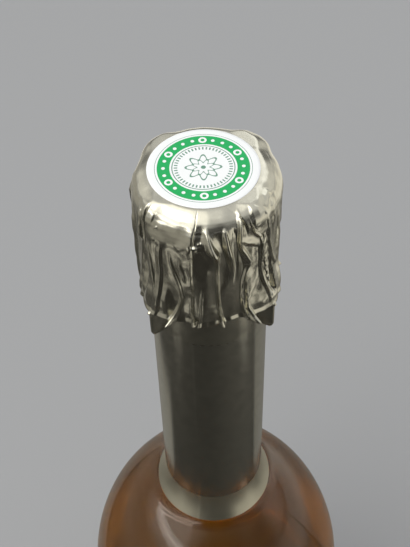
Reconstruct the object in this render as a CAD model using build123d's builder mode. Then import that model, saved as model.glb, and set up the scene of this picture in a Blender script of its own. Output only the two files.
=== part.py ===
from build123d import *

import os
from itertools import pairwise
from math import acos, atan2, cos, degrees, hypot, pi, radians, sin, sqrt

# Champagne bottle, 75 cl, standing on z = 0 with its axis on Z. The front looks along -Y.
# Azimuths are degrees round Z from the front, growing towards +X. Lengths are millimetres.

# Glass
bottle_height = 310.0
body_radius = 44.2
wall = 3.9
heel_radius = 8.0
standing_ring_width = 2.8
punt_depth = 36.0
punt_dome_radius = 12.0
punt_glass = 5.5
inner_heel_radius = 3.5
shoulder_radius = 87.0
flare_radius = 24.0
neck_length = 105.0
neck_base_radius = 14.88
neck_top_radius = 14.42

# Mouth of the glass
lip_radius = 14.3
lip_height = 4.8
lip_round = 1.0
groove_radius = 12.9
groove_height = 2.4
collar_radius = 15.45
collar_height = 6.3
collar_round = 0.8
bore_mouth_radius = 8.9
bore_inner_radius = 9.1
bore_depth = 26.0

# Wine
fill_depth = 72.0
wine_clearance = 0.05

# Cork
cork_clearance = 0.05
cork_length_in_neck = 25.0
cork_disc_height = 6.0
cork_seat_gap = 0.2
cork_head_height = 16.1
cork_head_radius = 14.4
cork_head_foot_radius = 13.2
cork_head_top_radius = 13.7
cork_head_round = 1.2

# Metal cap between the cork and the wire
cap_gap = 0.25
cap_thickness = 0.3
cap_radius = 15.3
cap_skirt = 2.25
cap_bend_radius = 2.1
cap_plateau_radius = 7.0
cap_plateau_height = 1.0
cap_slope_width = 0.9

# Wire cage
cage_wire = 0.8
wire_gap = 0.1
wire_clearance = 0.3
ring_radius = 9.2
flare_bend_radius = 1.6
shoulder_bend_radius = 2.6
leg_turns = 4
twist_lead_in = 1.4
eye_neck_drop = 0.4
eye_length = 11.9
eye_belt_width = 1.1
eye_top_reach = 1.5
leg_azimuths = {
    "front_right": (43.0, 54.0),
    "back_right": (135.0, 132.0),
    "back_left": (226.0, 228.0),
    "front_left": (313.0, 312.0),
}

# Belt wire under the collar, and its pull loop
belt_wire = 0.9
belt_drop = 1.3
belt_bump_angle = 17.0
belt_end_angle = 11.0
belt_end_rise = 1.4
loop_azimuth = -5.5
loop_turns = 3
loop_tail_length = 16.5
loop_eye_length = 8.4
loop_eye_width = 4.4
hinge_gap = 0.1

# Foil
foil_thickness = 0.25
foil_fit = 0.1
foil_clearance = 0.25
perforation_depth = 27.8
perforation_gap = 0.3
strip_height = 4.0
strip_thickness = 0.35
neck_foil_depth = 116.5
crinkle_bottom_depth = 17.4
crinkle_bottom_gap = 0.25
hood_shoulder_radius = 16.75
hood_flat_radius = 12.9
hood_top_gap = 0.3
pleat_count = 6
pleat_depth = 0.4
seal_radius = 12.6
seal_thickness = 0.1

# Tear tab, at the back
tab_azimuth = 180.0
tab_angle = 36.0
tab_thickness = 0.3
tab_inset = 0.3
tab_clearance = 0.3

# Labels
label_thickness = 0.12
label_glue = 0.03
front_label_bottom = 28.0
front_label_height = 86.0
front_label_angle = 136.0
back_label_bottom = 34.0
back_label_height = 56.0
back_label_angle = 84.0

overrun = 1.0
same_length = 0.001

# Levels and radii that follow from the sizes above
neck_base_height = bottle_height - neck_length
neck_width = body_radius - neck_base_radius
arc_sum = shoulder_radius + flare_radius
shoulder_drop = sqrt(2 * arc_sum * neck_width - neck_width**2)
body_top = neck_base_height - shoulder_drop
lip_bottom = bottle_height - lip_height
groove_bottom = lip_bottom - groove_height
collar_bottom = groove_bottom - collar_height
bore_bottom = bottle_height - bore_depth
standing_ring_outer = body_radius - heel_radius
standing_ring_inner = standing_ring_outer - standing_ring_width
wine_level = bottle_height - fill_depth
perforation_height = bottle_height - perforation_depth
crinkle_bottom_height = bottle_height - crinkle_bottom_depth
neck_foil_end_height = bottle_height - neck_foil_depth

cork_radius = bore_mouth_radius - cork_clearance
cork_bottom = bottle_height - cork_length_in_neck
cork_seat = bottle_height + cork_seat_gap
cork_top = cork_seat + cork_head_height

cap_floor = cork_top + cap_gap + cap_thickness
cap_top = cap_floor + cap_plateau_height
cage_radius = cage_wire / 2
belt_radius = belt_wire / 2
ring_level = cap_floor + wire_gap + cage_radius
hood_inner_top = cap_top + hood_top_gap
hood_top = hood_inner_top + foil_thickness

pair_offset = (cage_wire + wire_gap) / 2
pair_reach = pair_offset + cage_radius
leg_radius = collar_radius + wire_clearance + pair_reach
leg_bend_level = ring_level - shoulder_bend_radius
twist_top = leg_bend_level - twist_lead_in
twist_bottom = collar_bottom + eye_neck_drop
eye_bottom = twist_bottom - eye_length

tail_offset = (belt_wire + wire_gap) / 2
tail_reach = tail_offset + belt_radius
tail_radius = collar_radius + wire_clearance + tail_reach
belt_level = collar_bottom - belt_drop
hinge_level = belt_level + belt_end_rise


def neck_radius(height):
    """Outer radius of the tapering glass neck."""
    share = (height - neck_base_height) / (collar_bottom - neck_base_height)
    return neck_base_radius + (neck_top_radius - neck_base_radius) * share


def outer_radius(height):
    """Outer radius of the glass from the body up to the collar."""
    if height >= neck_base_height:
        return neck_radius(height)
    below = neck_base_height - height
    flare_end = shoulder_drop * flare_radius / arc_sum
    if below <= flare_end:
        return neck_base_radius + flare_radius - sqrt(flare_radius**2 - below**2)
    above = height - body_top
    return body_radius - shoulder_radius + sqrt(shoulder_radius**2 - above**2)


def place(azimuth, radius, height, sideways=0.0):
    """A point at an azimuth, with an offset sideways along the tangent."""
    turn = radians(azimuth)
    return Vector(
        radius * sin(turn) + sideways * cos(turn),
        -radius * cos(turn) + sideways * sin(turn),
        height,
    )


def outward(azimuth):
    return place(azimuth, 1, 0)


def along(azimuth):
    return place(azimuth, 0, 0, 1)


up = Vector(0, 0, 1)
least_bends = {}


def note_bend(name, start, tangent, end):
    """Keeps the least radius among a wire's arcs, for the printout."""
    chord = end - start
    turn = radians(tangent.get_angle(chord))
    if turn > same_length:
        bend = chord.length / (2 * sin(turn))
        least_bends[name] = min(bend, least_bends.get(name, bend))


def run(start, tangent, end):
    """An arc that leaves start along tangent, or a line where end lies straight ahead."""
    if radians(tangent.get_angle(end - start)) < same_length:
        Line(start, end)
    else:
        TangentArc(start, end, tangent=tangent)


def biarc(name, first, second):
    """Two arcs that join two points, each given with its direction."""
    start, leave = first
    end, arrive = second
    gap = end - start
    total = gap.dot(leave + arrive)
    spread = 1 - leave.dot(arrive)
    if spread < same_length**2:
        reach = gap.dot(gap) / (4 * gap.dot(arrive))
    else:
        reach = (sqrt(total**2 + 2 * spread * gap.dot(gap)) - total) / (2 * spread)
    corner_in = start + leave * reach
    corner_out = end - arrive * reach
    middle = (corner_in + corner_out) * 0.5
    run(start, leave, middle)
    run(middle, (corner_out - corner_in).normalized(), end)
    note_bend(name, start, leave, middle)
    note_bend(name, middle, (corner_out - corner_in).normalized(), end)


def wire_through(name, stops, diameter):
    """A round wire swept through stops, each a point and a direction."""
    start, direction = stops[0]
    with BuildPart() as wire:
        with BuildLine() as path:
            for first, second in pairwise(stops):
                biarc(name, first, second)
        with BuildSketch(Plane(origin=start, z_dir=direction)):
            Circle(diameter / 2)
        sweep(path=path.wires()[0])
    return wire.part


def twist(foot, axis, side, offset, length, quarters, start_angle):
    """Stops of one strand that winds round a straight axis, a quarter turn apart."""
    front = axis.cross(side)
    pitch_angle = quarters * pi / 2 / length
    for quarter in range(quarters + 1):
        angle = start_angle + quarter * pi / 2
        spoke = side * cos(angle) + front * sin(angle)
        swing = front * cos(angle) - side * sin(angle)
        centre = foot + axis * (length * quarter / quarters)
        direction = (axis + swing * (offset * pitch_angle)).normalized()
        yield centre + spoke * offset, direction


def reverse(stops):
    return [(point, direction * -1) for point, direction in reversed(stops)]


# Glass outline, from the standing ring up to the mouth
def punt_touch(extra):
    """Where the punt's straight side meets its dome, both moved up by extra."""
    centre_height = punt_depth - punt_dome_radius
    distance = hypot(standing_ring_inner, centre_height)
    lean = atan2(centre_height, standing_ring_inner) + pi / 2
    normal = lean - acos(punt_dome_radius / distance)
    normal = pi - normal if normal > pi / 2 else normal
    reach = punt_dome_radius + extra
    return normal, (reach * cos(normal), centre_height + reach * sin(normal))


def draw_inside(clearance):
    """The inside of the glass, drawn in by a clearance."""
    body_inside = body_radius - wall - clearance
    normal, touch = punt_touch(punt_glass + clearance)
    dome_top = (0, punt_depth + punt_glass + clearance)
    dome_mid_angle = (normal + pi / 2) / 2
    dome_reach = punt_dome_radius + punt_glass + clearance
    dome_mid = (
        dome_reach * cos(dome_mid_angle),
        punt_depth - punt_dome_radius + dome_reach * sin(dome_mid_angle),
    )
    tip = (body_inside, touch[1] - (body_inside - touch[0]) * cos(normal) / sin(normal))
    shoulder_inside = shoulder_radius - wall - clearance
    joint_height = body_top + shoulder_drop * shoulder_radius / arc_sum
    joint_height -= (wall + clearance) * shoulder_drop / arc_sum
    joint = (
        body_radius - shoulder_radius
        + sqrt(shoulder_inside**2 - (joint_height - body_top) ** 2),
        joint_height,
    )
    neck_inside = (neck_base_radius - wall - clearance, neck_base_height)
    mouth_top = bottle_height + overrun
    ThreePointArc(dome_top, dome_mid, touch)
    Polyline(touch, tip, (body_inside, body_top))
    RadiusArc((body_inside, body_top), joint, -shoulder_inside)
    RadiusArc(joint, neck_inside, flare_radius + wall + clearance)
    Polyline(
        neck_inside,
        (bore_inner_radius - clearance, bore_bottom),
        (bore_mouth_radius - clearance, bottle_height),
        (bore_mouth_radius - clearance, mouth_top),
        (0, mouth_top),
        dome_top,
    )


def draw_outside():
    """The outside of the glass, with the punt."""
    normal, touch = punt_touch(0)
    dome_mid_angle = (normal + pi / 2) / 2
    dome_mid = (
        punt_dome_radius * cos(dome_mid_angle),
        punt_depth - punt_dome_radius + punt_dome_radius * sin(dome_mid_angle),
    )
    joint_height = body_top + shoulder_drop * shoulder_radius / arc_sum
    joint = (outer_radius(joint_height), joint_height)
    ThreePointArc((0, punt_depth), dome_mid, touch)
    Polyline(touch, (standing_ring_inner, 0), (standing_ring_outer, 0))
    RadiusArc((standing_ring_outer, 0), (body_radius, heel_radius), -heel_radius)
    Line((body_radius, heel_radius), (body_radius, body_top))
    RadiusArc((body_radius, body_top), joint, -shoulder_radius)
    RadiusArc(joint, (neck_base_radius, neck_base_height), flare_radius)
    Polyline(
        (neck_base_radius, neck_base_height),
        (neck_top_radius, collar_bottom),
        (collar_radius, collar_bottom),
        (collar_radius, groove_bottom),
        (groove_radius, groove_bottom),
        (groove_radius, lip_bottom),
        (lip_radius, lip_bottom),
        (lip_radius, bottle_height),
        (0, bottle_height),
        (0, punt_depth),
    )


def circles_of(part, radius):
    """The circular edges of one radius."""
    return [
        edge
        for edge in part.edges().filter_by(GeomType.CIRCLE)
        if abs(edge.radius - radius) < same_length
    ]


with BuildPart() as bottle_glass:
    with BuildSketch(Plane.XZ):
        with BuildLine():
            draw_outside()
        make_face()
    revolve(axis=Axis.Z)
    with BuildSketch(Plane.XZ) as inside:
        with BuildLine():
            draw_inside(0)
        make_face()
        fillet(inside.vertices().sort_by(Axis.Y)[0], inner_heel_radius)
    revolve(axis=Axis.Z, mode=Mode.SUBTRACT)
    fillet(bottle_glass.edges().group_by(Axis.Z)[-1], lip_round)
    fillet(circles_of(bottle_glass, collar_radius), collar_round)

with BuildPart() as wine:
    with BuildSketch(Plane.XZ) as wine_outline:
        with BuildLine():
            draw_inside(wine_clearance)
        make_face()
        fillet(
            wine_outline.vertices().sort_by(Axis.Y)[0],
            inner_heel_radius - wine_clearance,
        )
    revolve(axis=Axis.Z)
    split(bisect_by=Plane.XY.offset(wine_level), keep=Keep.BOTTOM)

# Cork: two natural discs at the wine end, and the agglomerated body with its head
with BuildPart() as cork_disc_lower:
    with BuildSketch(Plane.XY.offset(cork_bottom)):
        Circle(cork_radius)
    extrude(amount=cork_disc_height)

with BuildPart() as cork_disc_upper:
    with BuildSketch(Plane.XY.offset(cork_bottom + cork_disc_height)):
        Circle(cork_radius)
    extrude(amount=cork_disc_height)

with BuildPart() as cork_body:
    body_bottom = cork_bottom + 2 * cork_disc_height
    head_middle = (cork_seat + cork_top) / 2
    with BuildSketch(Plane.XZ):
        with BuildLine():
            Polyline(
                (cork_head_top_radius, cork_top),
                (0, cork_top),
                (0, body_bottom),
                (cork_radius, body_bottom),
                (cork_radius, cork_seat),
                (cork_head_foot_radius, cork_seat),
            )
            ThreePointArc(
                (cork_head_foot_radius, cork_seat),
                (cork_head_radius, head_middle),
                (cork_head_top_radius, cork_top),
            )
        make_face()
    revolve(axis=Axis.Z)
    fillet(cork_body.edges().group_by(Axis.Z)[-1], cork_head_round)


def draw_cap(drop):
    """Top side of the metal cap, or its underside when drawn in by the sheet's thickness."""
    rim = cap_radius - drop
    bend = cap_bend_radius - drop
    floor = cap_floor - drop
    bend_start = (cap_radius - cap_bend_radius, floor)
    bend_middle = (
        cap_radius - cap_bend_radius + bend * sin(pi / 4),
        cap_floor - cap_bend_radius + bend * cos(pi / 4),
    )
    skirt_top = (rim, cap_floor - cap_bend_radius)
    skirt_bottom = cap_floor - cap_skirt
    plateau = (cap_plateau_radius - drop / 2, cap_top - drop)
    groove = (cap_plateau_radius + cap_slope_width - drop / 2, floor)
    cut_bottom = skirt_bottom - (overrun if drop else 0)
    Polyline((0, cut_bottom), (0, cap_top - drop), plateau, groove, bend_start)
    ThreePointArc(bend_start, bend_middle, skirt_top)
    Polyline(skirt_top, (rim, cut_bottom), (0, cut_bottom))


with BuildPart() as cage_cap:
    with BuildSketch(Plane.XZ):
        with BuildLine():
            draw_cap(0)
        make_face()
    revolve(axis=Axis.Z)
    with BuildSketch(Plane.XZ):
        with BuildLine():
            draw_cap(cap_thickness)
        make_face()
    revolve(axis=Axis.Z, mode=Mode.SUBTRACT)

# Wire cage: four quarters of the top ring run on into the legs, each a wire bent double
flare_side = pair_offset + flare_bend_radius
flare_reach = sqrt((ring_radius + flare_bend_radius) ** 2 - flare_side**2)
flare_angle = degrees(atan2(flare_side, flare_reach))
bend_start_radius = leg_radius - shoulder_bend_radius
eye_inner_radius = neck_top_radius + wire_clearance + cage_radius
eye_belt_inner = eye_inner_radius + eye_belt_width / 2
belt_eye_radius = eye_belt_inner + cage_radius + wire_gap + belt_radius
eye_outer_radius = belt_eye_radius + belt_radius + wire_gap + cage_radius + eye_belt_width
eye_middle = (eye_inner_radius + eye_outer_radius) / 2
eye_half_width = (eye_outer_radius - eye_inner_radius) / 2
eye_widest = belt_level - eye_top_reach


def leg_stops(top, foot):
    """Stops of one leg: from the ring, down one strand, round the eye and up the other."""
    strands = []
    head = place(top, leg_radius, twist_top)
    toe = place(foot, leg_radius, twist_bottom)
    axis = (toe - head).normalized()
    side = (along(top) - axis * axis.dot(along(top))).normalized()
    quarters = 4 * leg_turns + 1
    for hand in (1, -1):
        ring_end = place(top + hand * flare_angle, ring_radius, ring_level)
        flare_end = place(top, flare_reach, ring_level, hand * pair_offset)
        bend_start = place(top, bend_start_radius, ring_level, hand * pair_offset)
        bend_end = place(top, leg_radius, leg_bend_level, hand * pair_offset)
        strand = [
            (ring_end, along(top + hand * flare_angle) * -hand),
            (flare_end, outward(top)),
            (bend_start, outward(top)),
            (bend_end, up * -1),
        ]
        start_angle = 0 if hand == 1 else pi
        length = (toe - head).length
        strand += twist(head, axis, side, pair_offset, length, quarters, start_angle)
        strands.append(strand)
    down, back = strands
    if (down[-1][0] - toe).dot(outward(foot)) < 0:
        down, back = back, down
    eye = [
        (place(foot, eye_outer_radius, eye_widest), up * -1),
        (place(foot, eye_outer_radius, eye_bottom + eye_half_width), up * -1),
        (place(foot, eye_middle, eye_bottom), outward(foot) * -1),
        (place(foot, eye_inner_radius, eye_bottom + eye_half_width), up),
        (place(foot, eye_inner_radius, eye_widest), up),
    ]
    return down + eye + reverse(back)


legs = {}
for leg_name, (top_azimuth, foot_azimuth) in leg_azimuths.items():
    stops = leg_stops(top_azimuth, foot_azimuth)
    legs[leg_name] = wire_through("leg_" + leg_name, stops, cage_wire)

top_azimuths = sorted(top for top, _ in leg_azimuths.values())
ring_quarters = []
for near, far in zip(top_azimuths, top_azimuths[1:] + [top_azimuths[0] + 360]):
    quarter_stops = [
        (place(azimuth, ring_radius, ring_level), along(azimuth))
        for azimuth in (near + flare_angle, far - flare_angle)
    ]
    ring_quarters.append(wire_through("ring", quarter_stops, cage_wire))

with BuildPart() as cage_top_ring:
    for quarter in ring_quarters:
        add(quarter)

# Belt wire: round the neck, out through each eye, its two ends turned up to the pull loop
belt_inner_path = neck_radius(belt_level) + wire_clearance + belt_radius
foot_azimuths = sorted(foot % 360 for _, foot in leg_azimuths.values())
belt_stops = [(place(loop_azimuth, tail_radius, hinge_level - hinge_gap, tail_offset), up * -1)]
belt_places = [(loop_azimuth + belt_end_angle, belt_inner_path)]
for foot_azimuth in foot_azimuths:
    belt_places += [
        (foot_azimuth - belt_bump_angle, belt_inner_path),
        (foot_azimuth, belt_eye_radius),
        (foot_azimuth + belt_bump_angle, belt_inner_path),
    ]
belt_places.append((loop_azimuth + 360 - belt_end_angle, belt_inner_path))
for azimuth, radius in belt_places:
    belt_stops.append((place(azimuth, radius, belt_level), along(azimuth)))
belt_stops.append(
    (place(loop_azimuth, tail_radius, hinge_level - hinge_gap, -tail_offset), up)
)
belt = wire_through("belt", belt_stops, belt_wire)

# Pull loop: the twisted tail of the belt wire with the loop at its end
tail_foot = place(loop_azimuth, tail_radius, hinge_level)
loop_level = hinge_level + loop_tail_length
loop_middle = loop_level + loop_eye_length / 2
loop_side = along(loop_azimuth)
tail_strands = [
    list(
        twist(
            tail_foot, up, loop_side, tail_offset, loop_tail_length, 4 * loop_turns, angle
        )
    )
    for angle in (0, pi)
]
loop_stops = tail_strands[0] + [
    (place(loop_azimuth, tail_radius, loop_middle, loop_eye_width / 2), up),
    (place(loop_azimuth, tail_radius, loop_level + loop_eye_length), loop_side * -1),
    (place(loop_azimuth, tail_radius, loop_middle, -loop_eye_width / 2), up * -1),
]
loop_stops += reverse(tail_strands[1])
pull_loop = wire_through("pull_loop", loop_stops, belt_wire)


# Foil hood: rows of one closed wavy outline, from the perforation up to the flat top
def blend(distance, flat, edge):
    """1 up to flat, 0 past edge, and a smooth fall between."""
    share = min(max((abs(distance) - flat) / (edge - flat), 0), 1)
    return 1 - share * share * (3 - 2 * share)


foil_reach = foil_clearance + foil_thickness
leg_cover = leg_radius + pair_reach + foil_reach
loop_reach = hypot(tail_radius + belt_radius, loop_eye_width / 2 + belt_radius)
tail_cover = max(loop_reach, tail_radius + tail_reach) + foil_reach
belt_cover = belt_eye_radius + belt_radius + foil_reach
ear_cover = eye_outer_radius + cage_radius + foil_reach
bend_cover = shoulder_bend_radius + cage_radius + foil_reach
hood_rim = perforation_height + perforation_gap
hood_neck_radius = neck_radius(hood_rim) + foil_fit + foil_thickness
crinkle_neck_radius = neck_radius(crinkle_bottom_height) + foil_fit + foil_thickness
crinkle_radius = crinkle_neck_radius + crinkle_bottom_gap
belt_foil_radius = belt_inner_path + belt_radius + foil_reach + pleat_depth
leg_top_azimuths = [top for top, _ in leg_azimuths.values()]
leg_foot_azimuths = [foot for _, foot in leg_azimuths.values()]
loop_flat_angle = degrees(atan2(loop_eye_width / 2 + belt_radius, tail_radius))
steps_per_sector = 24
ear_flat_steps = 1
ear_edge_steps = 2.5


def bend_radius_at(height):
    """Radius of the foil over the bend of a leg."""
    rise = min(max(height - leg_bend_level, 0), bend_cover)
    return bend_start_radius + sqrt(bend_cover**2 - rise**2)


# Each row: height, radius, pleat depth, radius over a leg, over an ear and over the loop
no_push = 0.0
hood_waist = (hood_rim + crinkle_bottom_height) / 2
belt_row = belt_level - belt_radius
pleat_top = twist_top - eye_length / 2
shoulder_row = leg_bend_level + shoulder_bend_radius / 2
dome_row = hood_top - (hood_top - shoulder_row) / 3
dome_radius = hood_flat_radius + (hood_shoulder_radius - hood_flat_radius) / 2
ear_start = eye_bottom - foil_reach
hood_rows = [
    (hood_rim, hood_neck_radius, no_push, no_push, no_push, no_push),
    (ear_start, hood_neck_radius, no_push, no_push, ear_cover, no_push),
    (hood_waist, crinkle_neck_radius, no_push, no_push, ear_cover, no_push),
    (
        crinkle_bottom_height,
        crinkle_radius,
        no_push,
        (crinkle_radius + belt_cover) / 2,
        ear_cover,
        crinkle_radius + foil_reach,
    ),
    (belt_row, belt_foil_radius, pleat_depth, belt_cover, ear_cover, tail_cover),
    (twist_bottom, belt_foil_radius, pleat_depth, leg_cover, leg_cover, tail_cover),
    (pleat_top, hood_shoulder_radius, pleat_depth, leg_cover, leg_cover, tail_cover),
    (leg_bend_level, hood_shoulder_radius, no_push, leg_cover, leg_cover, tail_cover),
    (
        shoulder_row,
        hood_shoulder_radius - shoulder_bend_radius / 4,
        no_push,
        bend_radius_at(shoulder_row),
        bend_radius_at(shoulder_row),
        no_push,
    ),
    (dome_row, dome_radius, no_push, bend_radius_at(dome_row), no_push, no_push),
    (hood_top, hood_flat_radius, no_push, no_push, no_push, no_push),
]


def leg_azimuths_at(height):
    """Azimuth of each leg at a height, between its top and its foot."""
    share = (height - twist_bottom) / (twist_top - twist_bottom)
    share = min(max(share, 0), 1)
    return [
        foot + (top - foot) * share
        for top, foot in zip(leg_top_azimuths, leg_foot_azimuths)
    ]


def hood_outline(row):
    """Points of the foil's outer outline in one row, with every leg on a point."""
    height, radius, depth, over_leg, over_ear, over_loop = row
    azimuths = leg_azimuths_at(height)
    points = []
    for near, far in zip(azimuths, azimuths[1:] + [azimuths[0] + 360]):
        for step in range(steps_per_sector):
            azimuth = near + (far - near) * step / steps_per_sector
            from_leg = min(azimuth - near, far - azimuth)
            from_loop = (azimuth - loop_azimuth + 180) % 360 - 180
            wave = cos(2 * pi * pleat_count * step / steps_per_sector)
            reach = radius - depth * wave
            leg_share = blend(from_leg, belt_bump_angle / 3, belt_bump_angle)
            steps_off = min(step, steps_per_sector - step)
            ear_share = blend(steps_off, ear_flat_steps, ear_edge_steps)
            loop_share = blend(from_loop, loop_flat_angle, 2 * loop_flat_angle)
            reach += max(over_leg - reach, 0) * leg_share
            reach += max(over_ear - reach, 0) * ear_share
            reach += max(over_loop - reach, 0) * loop_share
            points.append(place(azimuth, reach, height))
    return points


def drawn_in(points, amount, drop):
    """The outline moved inwards by an amount and down by a drop."""
    moved = []
    for index, point in enumerate(points):
        before = points[index - 1]
        after = points[(index + 1) % len(points)]
        heading = (after - before).normalized()
        inward = up.cross(heading)
        moved.append(point + inward * amount - up * drop)
    return moved


def hood_solid(outlines):
    with BuildPart() as solid:
        for outline in outlines:
            with BuildSketch(Plane.XY.offset(outline[0].Z)):
                with BuildLine():
                    Polyline([(point.X, point.Y) for point in outline], close=True)
                make_face()
        loft(ruled=True)
    return solid.part


outer_outlines = [hood_outline(row) for row in hood_rows]
inner_outlines = []
for index, row in enumerate(hood_rows):
    below = hood_rows[max(index - 1, 0)]
    above = hood_rows[min(index + 1, len(hood_rows) - 1)]
    if index == len(hood_rows) - 1:
        lean_in, lean_up = 0.0, 1.0
    elif row[0] > leg_bend_level:
        rise = above[0] - below[0]
        shrink = below[1] - above[1]
        lean_in, lean_up = rise / hypot(rise, shrink), shrink / hypot(rise, shrink)
    else:
        lean_in, lean_up = 1.0, 0.0
    outline = hood_outline(row)
    inner_outlines.append(
        drawn_in(outline, foil_thickness * lean_in, foil_thickness * lean_up)
    )
rim_outline = [point - up * overrun for point in inner_outlines[0]]

with BuildPart() as foil_hood:
    add(hood_solid(outer_outlines))
    add(hood_solid([rim_outline] + inner_outlines), mode=Mode.SUBTRACT)

with BuildPart() as top_seal_disc:
    with BuildSketch(Plane.XY.offset(hood_top)):
        Circle(seal_radius)
    extrude(amount=seal_thickness)


# Neck foil and tear strip, which follow the glass at a fit
def draw_sleeve(bottom, top, thickness):
    """Section of a foil sleeve round the neck, between two heights."""
    heights = [bottom, top]
    if bottom < neck_base_height < top:
        heights.insert(1, neck_base_height)
    inner = [(outer_radius(height) + foil_fit, height) for height in heights]
    outer = [(radius + thickness, height) for radius, height in inner]
    if len(heights) > 2:
        inner_bend = flare_radius - foil_fit
        RadiusArc(inner[0], inner[1], inner_bend)
        RadiusArc(outer[0], outer[1], inner_bend - thickness)
    Line(inner[-2], inner[-1])
    Line(outer[-2], outer[-1])
    Line(inner[0], outer[0])
    Line(inner[-1], outer[-1])


strip_bottom = perforation_height - strip_height
with BuildPart() as neck_foil:
    with BuildSketch(Plane.XZ):
        with BuildLine():
            draw_sleeve(neck_foil_end_height, strip_bottom - perforation_gap, foil_thickness)
        make_face()
    revolve(axis=Axis.Z)

with BuildPart() as tear_strip:
    with BuildSketch(Plane.XZ):
        with BuildLine():
            draw_sleeve(strip_bottom, perforation_height, strip_thickness)
        make_face()
    revolve(axis=Axis.Z)

# Tear tab: the strip's end, folded back over it
tab_inner = outer_radius(strip_bottom) + foil_fit + strip_thickness + tab_clearance
with BuildPart() as tear_tab:
    tab_plane = Plane(
        origin=(0, 0, strip_bottom),
        x_dir=outward(tab_azimuth),
        z_dir=along(tab_azimuth) * -1,
    )
    with BuildSketch(tab_plane):
        with Locations((tab_inner + tab_thickness / 2, strip_height / 2)):
            Rectangle(tab_thickness, strip_height - 2 * tab_inset)
    revolve(axis=Axis.Z, revolution_arc=tab_angle)


def label(bottom, height, angle, middle):
    """A paper label on the body, centred on an azimuth."""
    inner = body_radius + label_glue
    start = middle - angle / 2
    plane = Plane(origin=(0, 0, bottom), x_dir=outward(start), z_dir=along(start) * -1)
    with BuildPart() as paper:
        with BuildSketch(plane):
            with Locations((inner + label_thickness / 2, height / 2)):
                Rectangle(label_thickness, height)
        revolve(axis=Axis.Z, revolution_arc=angle)
    return paper.part


front_label = label(front_label_bottom, front_label_height, front_label_angle, 0)
back_label = label(back_label_bottom, back_label_height, back_label_angle, 180)

pieces = {
    "bottle_glass": bottle_glass.part,
    "wine": wine.part,
    "cork_body": cork_body.part,
    "cork_disc_upper": cork_disc_upper.part,
    "cork_disc_lower": cork_disc_lower.part,
    "cage_cap": cage_cap.part,
    "cage_top_ring": cage_top_ring.part,
    "belt_wire": belt,
    "pull_loop": pull_loop,
    "foil_hood": foil_hood.part,
    "top_seal_disc": top_seal_disc.part,
    "neck_foil": neck_foil.part,
    "tear_strip": tear_strip.part,
    "tear_tab": tear_tab.part,
    "front_label": front_label,
    "back_label": back_label,
}
for leg_name, leg in legs.items():
    pieces["cage_leg_" + leg_name] = leg

os.makedirs("parts", exist_ok=True)
for name, piece in pieces.items():
    piece.label = name
    export_step(piece, f"parts/{name}.step")

for name, bend in least_bends.items():
    print(f"{name}: least bend radius {bend:.2f} mm")
print(f"wine: {wine.part.volume / 1000:.0f} ml, glass: {bottle_glass.part.volume / 1000:.0f} cm3")
print(f"strand gap in a twisted pair: {2 * pair_offset - cage_wire:.2f} mm")
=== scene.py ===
import math

import bpy
import numpy as np
from bpy.props import FloatProperty, FloatVectorProperty, IntProperty, PointerProperty
from mathutils import Matrix, Vector, noise
from mathutils.bvhtree import BVHTree


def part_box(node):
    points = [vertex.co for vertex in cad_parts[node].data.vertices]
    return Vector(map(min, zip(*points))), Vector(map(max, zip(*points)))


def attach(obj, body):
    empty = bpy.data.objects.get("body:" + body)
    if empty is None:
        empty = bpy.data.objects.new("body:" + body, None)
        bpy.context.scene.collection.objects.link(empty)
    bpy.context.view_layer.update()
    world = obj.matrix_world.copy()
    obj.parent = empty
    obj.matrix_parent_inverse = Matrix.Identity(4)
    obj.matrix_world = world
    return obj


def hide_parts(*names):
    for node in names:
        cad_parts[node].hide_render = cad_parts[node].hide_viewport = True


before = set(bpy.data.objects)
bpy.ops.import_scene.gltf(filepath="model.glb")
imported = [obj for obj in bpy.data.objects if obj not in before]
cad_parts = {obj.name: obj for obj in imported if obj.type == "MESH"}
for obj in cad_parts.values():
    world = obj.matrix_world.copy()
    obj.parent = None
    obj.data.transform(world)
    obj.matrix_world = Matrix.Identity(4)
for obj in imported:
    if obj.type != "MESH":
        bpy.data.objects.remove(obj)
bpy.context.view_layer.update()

bl_info = {
    "name": "Champagne bottle",
    "version": (1, 0, 0),
    "blender": (4, 5, 0),
    "location": "View3D > Sidebar > Bottle",
    "description": "Finishes the glass, foil, seal, cork, cage and labels of a champagne bottle",
    "category": "Object",
}

mm = 0.001


def top_of(node):
    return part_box(node)[1].z / mm


def foot_of(node):
    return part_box(node)[0].z / mm


def radius_of(node):
    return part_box(node)[1].x / mm


def size_property(name, description, default):
    """A size that a user can change, with its default in millimetres."""
    return FloatProperty(name=name, description=description, default=default * mm, unit="LENGTH")


def angle_property(name, description, default):
    """An angle that a user can change, with its default in degrees."""
    default = math.radians(default)
    return FloatProperty(name=name, description=description, default=default, subtype="ANGLE")


def colour_property(name, description, default):
    return FloatVectorProperty(name=name, description=description, default=default, subtype="COLOR")


# Shader trees


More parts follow.
